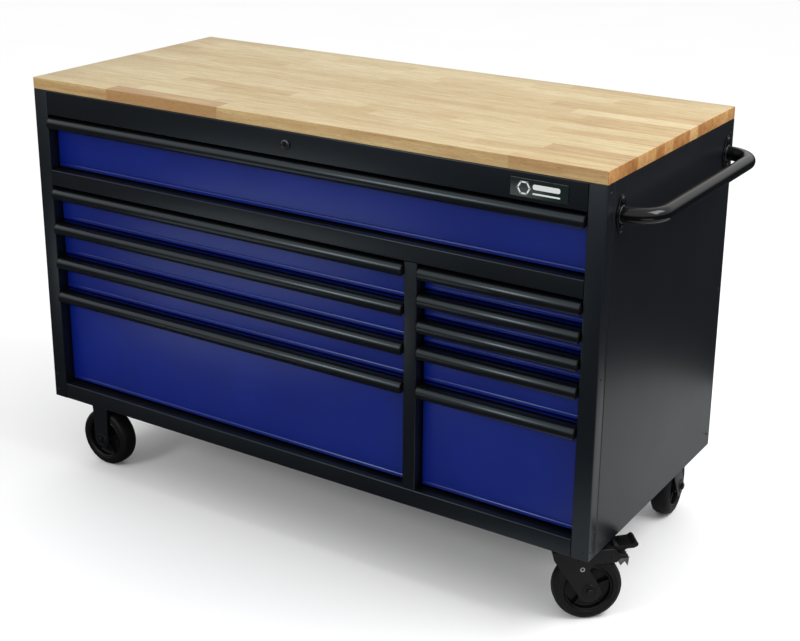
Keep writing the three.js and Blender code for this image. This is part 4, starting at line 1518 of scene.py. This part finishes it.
@dataclass
class Caster:
    """One caster: its plate, fork, wheel, axle and, on a swivel caster, its brake.

    Heights are measured from the cabinet's underside, and are negative.

    Attributes:
        name: The caster's corner.
        steering: How it is mounted.
        angle: The direction that the wheel trails in, in degrees.
        trail: From the swivel's axis to the axle.
        leg_inside: From the wheel's middle to a leg's inner face.
        leg_sheet: The legs' thickness.
        ribs: The number of ribs on each side of the hub.
        rib_half: Half a rib's thickness.
        rib_reach: Where a rib starts and ends along its radius.
        rib_depth: Where a rib starts and ends along the axle.
        plate_half: Half the top plate's length and width.
        plate_bolt: From the plate's centre to its bolts.
        plate_under: The height of the plate's underside.
        crown: The height of the fork's crown.
        pivot_ahead: From the axle to the brake's pivot.
        pivot_z: The height of the brake's pivot.
        teeth: The number of teeth under the pedal.
        pads: The number of ribs on the pedal's pad.
    """

    name: str
    steering: Steering
    angle: float = 0.0
    trail: float = 0.0
    leg_inside: float = 27
    leg_sheet: float = 4
    ribs: int = 5
    rib_half: float = 1.6
    rib_reach: Span = (17, 45.5)
    rib_depth: Span = (7.0, 16.0)
    plate_half: Point = (52, 44)
    plate_bolt: Point = (41, 33)
    plate_under: float = -4.4
    crown: float = -15.5
    pivot_ahead: float = 44
    pivot_z: float = -33
    teeth: int = 5
    pads: int = 5

    def __post_init__(self) -> None:
        """Reads the caster's place and wheel size from its CAD nodes."""
        rigid = self.steering is Steering.RIGID
        low, high = cad_span(f"bracket_{self.name}" if rigid else f"swivel_plate_{self.name}")
        centre = ((low.x + high.x) / 2, (low.y + high.y) / 2, 0)
        self.fixed_place = TO_METRES @ Matrix.Translation(centre)
        self.place = self.fixed_place @ Matrix.Rotation(math.radians(self.angle), 4, "Z")
        wheel_low, wheel_high = cad_span(f"wheel_{self.name}")
        self.radius = (wheel_high.z - wheel_low.z) / 2
        self.axle_z = (wheel_high.z + wheel_low.z) / 2
        self.axle = (self.trail, 0, self.axle_z)
        self.leg_outside = self.leg_inside + self.leg_sheet
        self.pivot = self.trail + self.pivot_ahead
        self.body = "carcass" if rigid else f"swivel_{self.name}"

    def _wheel(self) -> None:
        """Makes the tyre and the hub with its ribs and bearing caps."""
        body = f"wheel_{self.name}"
        half = [*TYRE_SIDE, (self.radius - 1.2, 13.0), (self.radius, 7.0)]
        profile = [(r, -y) for r, y in half] + [(self.radius, 0)] + half[::-1] + [(half[0][0], 0)]
        tyre = Workshop(self.place).lathe(profile, Axis.Y, self.axle, 96)
        tyre.piece(f"tyre_{self.name}", RUBBER, Slot.RUBBER, body, [f"wheel_{self.name}"])
        hub = Workshop(self.place)
        hub.lathe([*((r, -y) for r, y in HUB_SIDE), *HUB_SIDE[::-1]], Axis.Y, self.axle, 72)
        for side in (-1, 1):
            self._ribs(hub, side)
        hub.piece(f"hub_{self.name}", HUB_PLASTIC, Slot.RUBBER, body)

    def _ribs(self, hub: Workshop, side: int) -> None:
        """Adds the hub's ribs on one side.

        Args:
            hub: The hub's shapes.
            side: 1 or -1 along the axle.
        """
        start, end = self.rib_reach
        inner, outer = self.rib_depth
        for i in range(self.ribs):
            turn = FULL_TURN * (i + 0.25) / self.ribs
            along = Vector((math.cos(turn), math.sin(turn)))
            across = Vector((-along.y, along.x)) * self.rib_half
            ends = (along * start, along * end)
            corners = [ends[0] - across, ends[1] - across, ends[1] + across, ends[0] + across]
            outline = [(self.trail + p.x, self.axle_z + p.y) for p in corners]
            hub.extrude(outline, Axis.Y, (inner, outer) if side > 0 else (-outer, -inner), 0.7)

    def _axle(self) -> None:
        """Makes the axle bolt, its nut and washers."""
        bolt = Workshop(self.place)
        outside = self.leg_outside
        bolt.lathe([(0, -outside), (5, -outside), (5, outside), (0, outside)], Axis.Y, self.axle, 24)
        for side in (-1, 1):
            bolt.hex_bolt(Axis.Y, (self.trail, side * outside, self.axle_z), 15, side)
        for side in (-1, 1):
            spacer = [(5.2, side * 24.2), (8.5, side * 24.2), (8.5, side * 26.9), (5.2, side * 26.9)]
            bolt.lathe(spacer, Axis.Y, self.axle, 28)
        bolt.piece(f"axle_bolt_{self.name}", FORK_COAT, Slot.ZINC, self.body, [f"axle_{self.name}"])

    def _leg_outline(self) -> list[Point]:
        """Draws the side of the rigid bracket, or of the fork with its arm for the brake.

        Returns:
            The outline's corners.
        """
        axle = (self.trail, self.axle_z)
        if self.steering is Steering.RIGID:
            return [(27, -3), (-27, -3), (-22.5, -32), *arc(axle, 20.5, 180, 360, 16), (22.5, -32)]
        crown, pivot, trail = self.crown, self.pivot, self.trail
        curve = rounded_path([(trail - 2, -60), (trail + 8, -46.5), (pivot + 8, -45)], 30, 6)
        arm = [
            (pivot + 16, -37), (pivot + 31, -36), (pivot + 31, -29.5), (pivot + 13, -27), (pivot + 4, crown),
        ]
        return [(-42, crown), (-37, -34), *arc(axle, 25, 194, 354, 16), (trail + 13, -84), *curve, *arm]

    def _legs(self, fork: Workshop) -> None:
        """Adds both legs, and pressed bosses round the axle.

        Args:
            fork: The fork's shapes.
        """
        inside, outside = self.leg_inside, self.leg_outside
        outline = rounded_outline(self._leg_outline(), 2.5, 2)
        for span in ((-outside, -inside), (inside, outside)):
            fork.extrude(outline, Axis.Y, span, 0.9, 3)
        for side in (-1, 1):
            boss = [(9.5, 0), (15.5, 0), (14.6, side * 1.8), (11, side * 2), (9.5, side * 1.2)]
            fork.lathe(boss, Axis.Y, (self.trail, side * outside, self.axle_z), 44)

    def _plate(self, workshop: Workshop) -> None:
        """Adds the top plate.

        Args:
            workshop: The shapes to add it to.
        """
        x, y = self.plate_half
        outline = rounded_outline(rectangle((-x, x), (-y, y)), 6, 6)
        workshop.extrude(outline, Axis.Z, (self.plate_under, -0.4), 0.8, 3)

    def _plate_bolts(self) -> None:
        """Makes the four bolts that hold the top plate."""
        bolts = Workshop(self.fixed_place)
        x, y = self.plate_bolt
        for place in ((-x, -y), (-x, y), (x, -y), (x, y)):
            bolts.hex_bolt(Axis.Z, (*place, self.plate_under), 14, -1)
        bolts.piece(f"plate_bolts_{self.name}", ZINC, Slot.ZINC, "carcass")

    def _rigid_bracket(self) -> None:
        """Makes the rigid caster's bracket."""
        bracket = Workshop(self.place)
        self._plate(bracket)
        self._legs(bracket)
        node = f"bracket_{self.name}"
        bracket.piece(f"caster_{node}", BLACK_COAT, Slot.BLACK, "carcass", [node])

    def _swivel_fork(self) -> None:
        """Makes the swivel caster's plate, race, fork and crown."""
        plate = Workshop(self.fixed_place)
        self._plate(plate)
        plate.lathe(SWIVEL_RACE, Axis.Z, (0, 0, 0), 56)
        node = f"swivel_plate_{self.name}"
        plate.piece(f"caster_plate_{self.name}", FORK_COAT, Slot.ZINC, "carcass", [node])
        fork = Workshop(self.place)
        self._legs(fork)
        half = self.leg_inside + 3
        corners = rectangle((-41, self.pivot + 2), (-half, half))
        fork.extrude(rounded_outline(corners, 8, 5), Axis.Z, (self.crown - 4, self.crown + 0.6), 1.2, 3)
        fork.piece(f"caster_fork_{self.name}", FORK_COAT, Slot.BLACK, self.body, [f"fork_{self.name}"])

    def _fork_fasteners(self) -> None:
        """Makes the bolts and rivets on the fork's legs."""
        rings, heads = Workshop(self.place), Workshop(self.place)
        for side in (-1, 1):
            leg = side * self.leg_outside
            ring = [(2.6, 0), (5.2, 0), (4.8, side * 1.6), (3.2, side * 1.9), (2.6, side * 1)]
            rings.lathe(ring, Axis.Y, (self.trail - 17, leg, -56), 32)
            heads.dome(Axis.Y, (self.trail - 25, leg, -38), 2.8, 1.4, side)
            heads.dome(Axis.Y, (self.pivot, leg, self.pivot_z), 3.4, 1.4, side)
        rings.piece(f"fork_bolts_{self.name}", ZINC, Slot.ZINC, self.body)
        heads.piece(f"fork_rivets_{self.name}", FORK_COAT, Slot.BLACK, self.body)

    def _brake_spring(self) -> None:
        """Makes the brake's toothed spring plate."""
        spring = Workshop(self.place)
        x, top = self.pivot + 10, self.pivot_z - 6
        tooth = [(x, top), (x + 26, top), (x + 24, -60), (x + 17, -49), (x + 9, -58), (x + 3, -48)]
        for i in range(self.teeth):
            y = -20 + 40 * i / (self.teeth - 1)
            spring.extrude(tooth, Axis.Y, (y - 1.2, y + 1.2), 0.3)
        spring.block((x - 2, x + 24), (-22, 22), (top - 1, top + 1), 0.4)
        spring.piece(f"brake_spring_{self.name}", SPRING_STEEL, Slot.ZINC, self.body)

    def _pedal(self) -> None:
        """Makes the brake pedal with its ribbed pad and pivot pin."""
        x, z = self.pivot, self.pivot_z
        pedal = Workshop(self.place)
        outline = rounded_outline([(x + a, z + b) for a, b in PEDAL_SIDE], 3, 3)
        pedal.extrude(outline, Axis.Y, (-20.5, 20.5), 1.4, 3)
        for i in range(self.pads):
            start = x + 16 + i * 4.6
            pad = [(start, z + 18), (start + 2.4, z + 18), (start + 2.2, z + 21), (start + 0.2, z + 20.8)]
            pedal.extrude(pad, Axis.Y, (-17, 17), 0.4)
        pedal.lathe([(0, -26.5), (3, -26.5), (3, 26.5), (0, 26.5)], Axis.Y, (x, 0, z), 24)
        body, node = f"brake_{self.name}", f"brake_pedal_{self.name}"
        pedal.piece(f"brake_lever_{self.name}", PEDAL_PLASTIC, Slot.PLASTIC, body, [node])

    def build(self) -> None:
        """Makes and dresses the caster."""
        self._wheel()
        self._axle()
        self._plate_bolts()
        if self.steering is Steering.RIGID:
            self._rigid_bracket()
        else:
            self._swivel_fork()
            self._fork_fasteners()
            self._brake_spring()
            self._pedal()


# ---------------------------------------------------------------- studio


@dataclass(frozen=True)
class FloorDisc:
    """A flat disc of pale floor.

    Attributes:
        name: Its name.
        centre: Its middle, in metres.
        radius: Its radius.
        whiteness: Its colour, from 0 to 1.
        mottle: How much darker its darkest patches are.
    """

    name: str
    centre: Point
    radius: float
    whiteness: float
    mottle: float = 0.012

    def build(self) -> bpy.types.Object:
        """Makes the disc.

        Returns:
            The disc's object.
        """
        nodes = Nodes(f"{self.name}_finish")
        dark, pale = (self.whiteness - self.mottle,) * 3, (self.whiteness,) * 3
        patches = nodes.noise(1.5, 2, nodes.place())
        nodes.feed("Base Color", nodes.ramp(patches, [(NOISE_LOW, dark), (NOISE_HIGH, pale)]))
        nodes.set(Roughness=0.75)
        mesh = bmesh.new()
        mesh.faces.new([mesh.verts.new((x, y, 0)) for x, y in arc(self.centre, self.radius, 0, 356, 89)])
        data = bpy.data.meshes.new(self.name)
        mesh.to_mesh(data)
        mesh.free()
        data.materials.append(nodes.made)
        thing = bpy.data.objects.new(self.name, data)
        bpy.context.scene.collection.objects.link(thing)
        return thing


@dataclass(frozen=True)
class Lamp:
    """One soft box.

    Attributes:
        name: Its name.
        place: Where it stands, in metres.
        aim: The point it faces.
        size: Its width and height.
        power: Its power, in watts.
    """

    name: str
    place: Place
    aim: Place
    size: Span
    power: float

    def build(self) -> None:
        """Makes the lamp."""
        data = bpy.data.lights.new(self.name, "AREA")
        data.shape = "RECTANGLE"
        data.size, data.size_y = self.size
        data.energy = self.power
        lamp = bpy.data.objects.new(self.name, data)
        lamp.location = self.place
        direction = Vector(self.aim) - Vector(self.place)
        lamp.rotation_euler = direction.to_track_quat("-Z", "Y").to_euler()
        bpy.context.scene.collection.objects.link(lamp)


@dataclass
class Studio:
    """The floor, the lights and the camera.

    Attributes:
        eye: The camera's place in the cabinet's frame, in millimetres.
        yaw: The camera's turn about the vertical, in degrees.
        pitch: How far it looks down, in degrees.
        roll: Its roll, in degrees.
        lens: Its focal length on a 36 mm wide sensor, in millimetres.
        shift_y: The lens's vertical shift.
        floor_disc: The floor.
        mirrored: The discs of floor that glossy surfaces mirror.
        lift: How far those discs lie above the floor, in metres.
        lamps: The soft boxes.
        sky: The strength of the sky's light.
        horizon: The sky's colour at the horizon, where gloss would mirror it.
        backdrop: The colour behind the bench.
    """

    eye: Place = (2448, -2283, 1462)
    yaw: float = -32.62
    pitch: float = 18.46
    roll: float = 0.44
    lens: float = 65.68
    shift_y: float = -0.09
    floor_disc: FloorDisc = FloorDisc("floor", (0, 0), 60, 0.975)
    mirrored: tuple[FloorDisc, ...] = (
        FloorDisc("floor_mirrored_0", (0.85, 0.1), 0.85, 0.42),
        FloorDisc("floor_mirrored_1", (-1.25, -1.8), 0.75, 0.85),
        FloorDisc("floor_mirrored_2", (1.95, -1.1), 0.55, 0.9),
    )
    lift: float = 0.001
    lamps: tuple[Lamp, ...] = (
        Lamp("lamp_top", (2.3, 0.2, 2.9), (0.4, 0, 0.8), (1.6, 1.2), 50),
        Lamp("lamp_front", (-1.2, -3.9, 2.7), (0.3, -0.2, 0.7), (1.1, 0.8), 38),
        Lamp("lamp_side", (3.6, -0.4, 2.9), (0.7, 0.1, 0.6), (0.7, 0.9), 15),
    )
    sky: float = 1.03
    horizon: Colour = (0.03, 0.032, 0.036)
    backdrop: Colour = (0.9, 0.9, 0.91)

    def camera(self) -> None:
        """Makes the camera."""
        data = bpy.data.cameras.new("camera")
        data.sensor_width = 36
        data.lens = self.lens
        data.shift_y = self.shift_y
        data.clip_end = 60
        camera = bpy.data.objects.new("camera", data)
        bpy.context.scene.collection.objects.link(camera)
        turn = Matrix.Rotation(math.radians(-self.yaw), 4, "Z")
        tilt = Matrix.Rotation(math.radians(90 - self.pitch), 4, "X")
        bank = Matrix.Rotation(math.radians(self.roll), 4, "Z")
        camera.matrix_world = Matrix.Translation(TO_METRES @ Vector(self.eye)) @ turn @ tilt @ bank
        bpy.context.scene.camera = camera

    def floor(self) -> None:
        """Makes the pale floor, and the parts of it that glossy surfaces mirror."""
        self.floor_disc.build().visible_glossy = False
        for disc in self.mirrored:
            patch = disc.build()
            patch.visible_camera = patch.visible_diffuse = patch.visible_shadow = False
            patch.location.z = self.lift

    def surroundings(self) -> None:
        """Makes a pale sky that fades to dark towards the horizon, where gloss would mirror it."""
        world = bpy.data.worlds.new("surroundings")
        world.use_nodes = True
        tree = world.node_tree
        sky = tree.nodes.new("ShaderNodeTexCoord")
        split = tree.nodes.new("ShaderNodeSeparateXYZ")
        ramp = tree.nodes.new("ShaderNodeValToRGB")
        low, high = ramp.color_ramp.elements
        low.position, low.color = 0.0, (*self.horizon, 1)
        high.position, high.color = 0.3, (1.0, 1.0, 1.0, 1)
        seen = tree.nodes.new("ShaderNodeLightPath")
        choice = tree.nodes.new("ShaderNodeMix")
        choice.data_type = "RGBA"
        choice.inputs["B"].default_value = (*self.backdrop, 1)
        background = tree.nodes["Background"]
        background.inputs["Strength"].default_value = self.sky
        tree.links.new(sky.outputs["Generated"], split.inputs["Vector"])
        tree.links.new(split.outputs["Z"], ramp.inputs["Fac"])
        tree.links.new(seen.outputs["Is Camera Ray"], choice.inputs["Factor"])
        tree.links.new(ramp.outputs["Color"], choice.inputs["A"])
        tree.links.new(choice.outputs["Result"], background.inputs["Color"])
        bpy.context.scene.world = world
        bpy.context.scene.view_settings.view_transform = "Standard"

    def build(self) -> None:
        """Makes the whole studio."""
        self.camera()
        self.floor()
        for lamp in self.lamps:
            lamp.build()
        self.surroundings()


# ---------------------------------------------------------------- bench


def trailing(name: str) -> tuple[float, float]:
    """Works out how a swivel caster's wheel trails.

    Args:
        name: The caster's corner.

    Returns:
        Its direction from +X, in degrees, and its distance, in millimetres.
    """
    plate_low, plate_high = cad_span(f"swivel_plate_{name}")
    wheel_low, wheel_high = cad_span(f"wheel_{name}")
    along = (wheel_low + wheel_high - plate_low - plate_high) / 2
    return math.degrees(math.atan2(along.y, along.x)), math.hypot(along.x, along.y)


def main() -> None:
    """Builds the bench and its studio, one sub-assembly at a time."""
    logging.basicConfig(level=logging.INFO, format="%(name)s: %(message)s")
    Studio().build()
    Worktop().build()
    Carcass().build()
    names = ["top", *(f"left_{i}" for i in range(1, 5)), *(f"right_{i}" for i in range(1, 6))]
    for name in names:
        Drawer(name).build()
    Lock().build()
    Badge().build()
    PushHandle().build()
    for corner in ("front_left", "back_left"):
        Caster(corner, Steering.RIGID).build()
    for corner in ("front_right", "back_right"):
        Caster(corner, Steering.SWIVEL, *trailing(corner)).build()


if __name__ == "__main__":
    main()
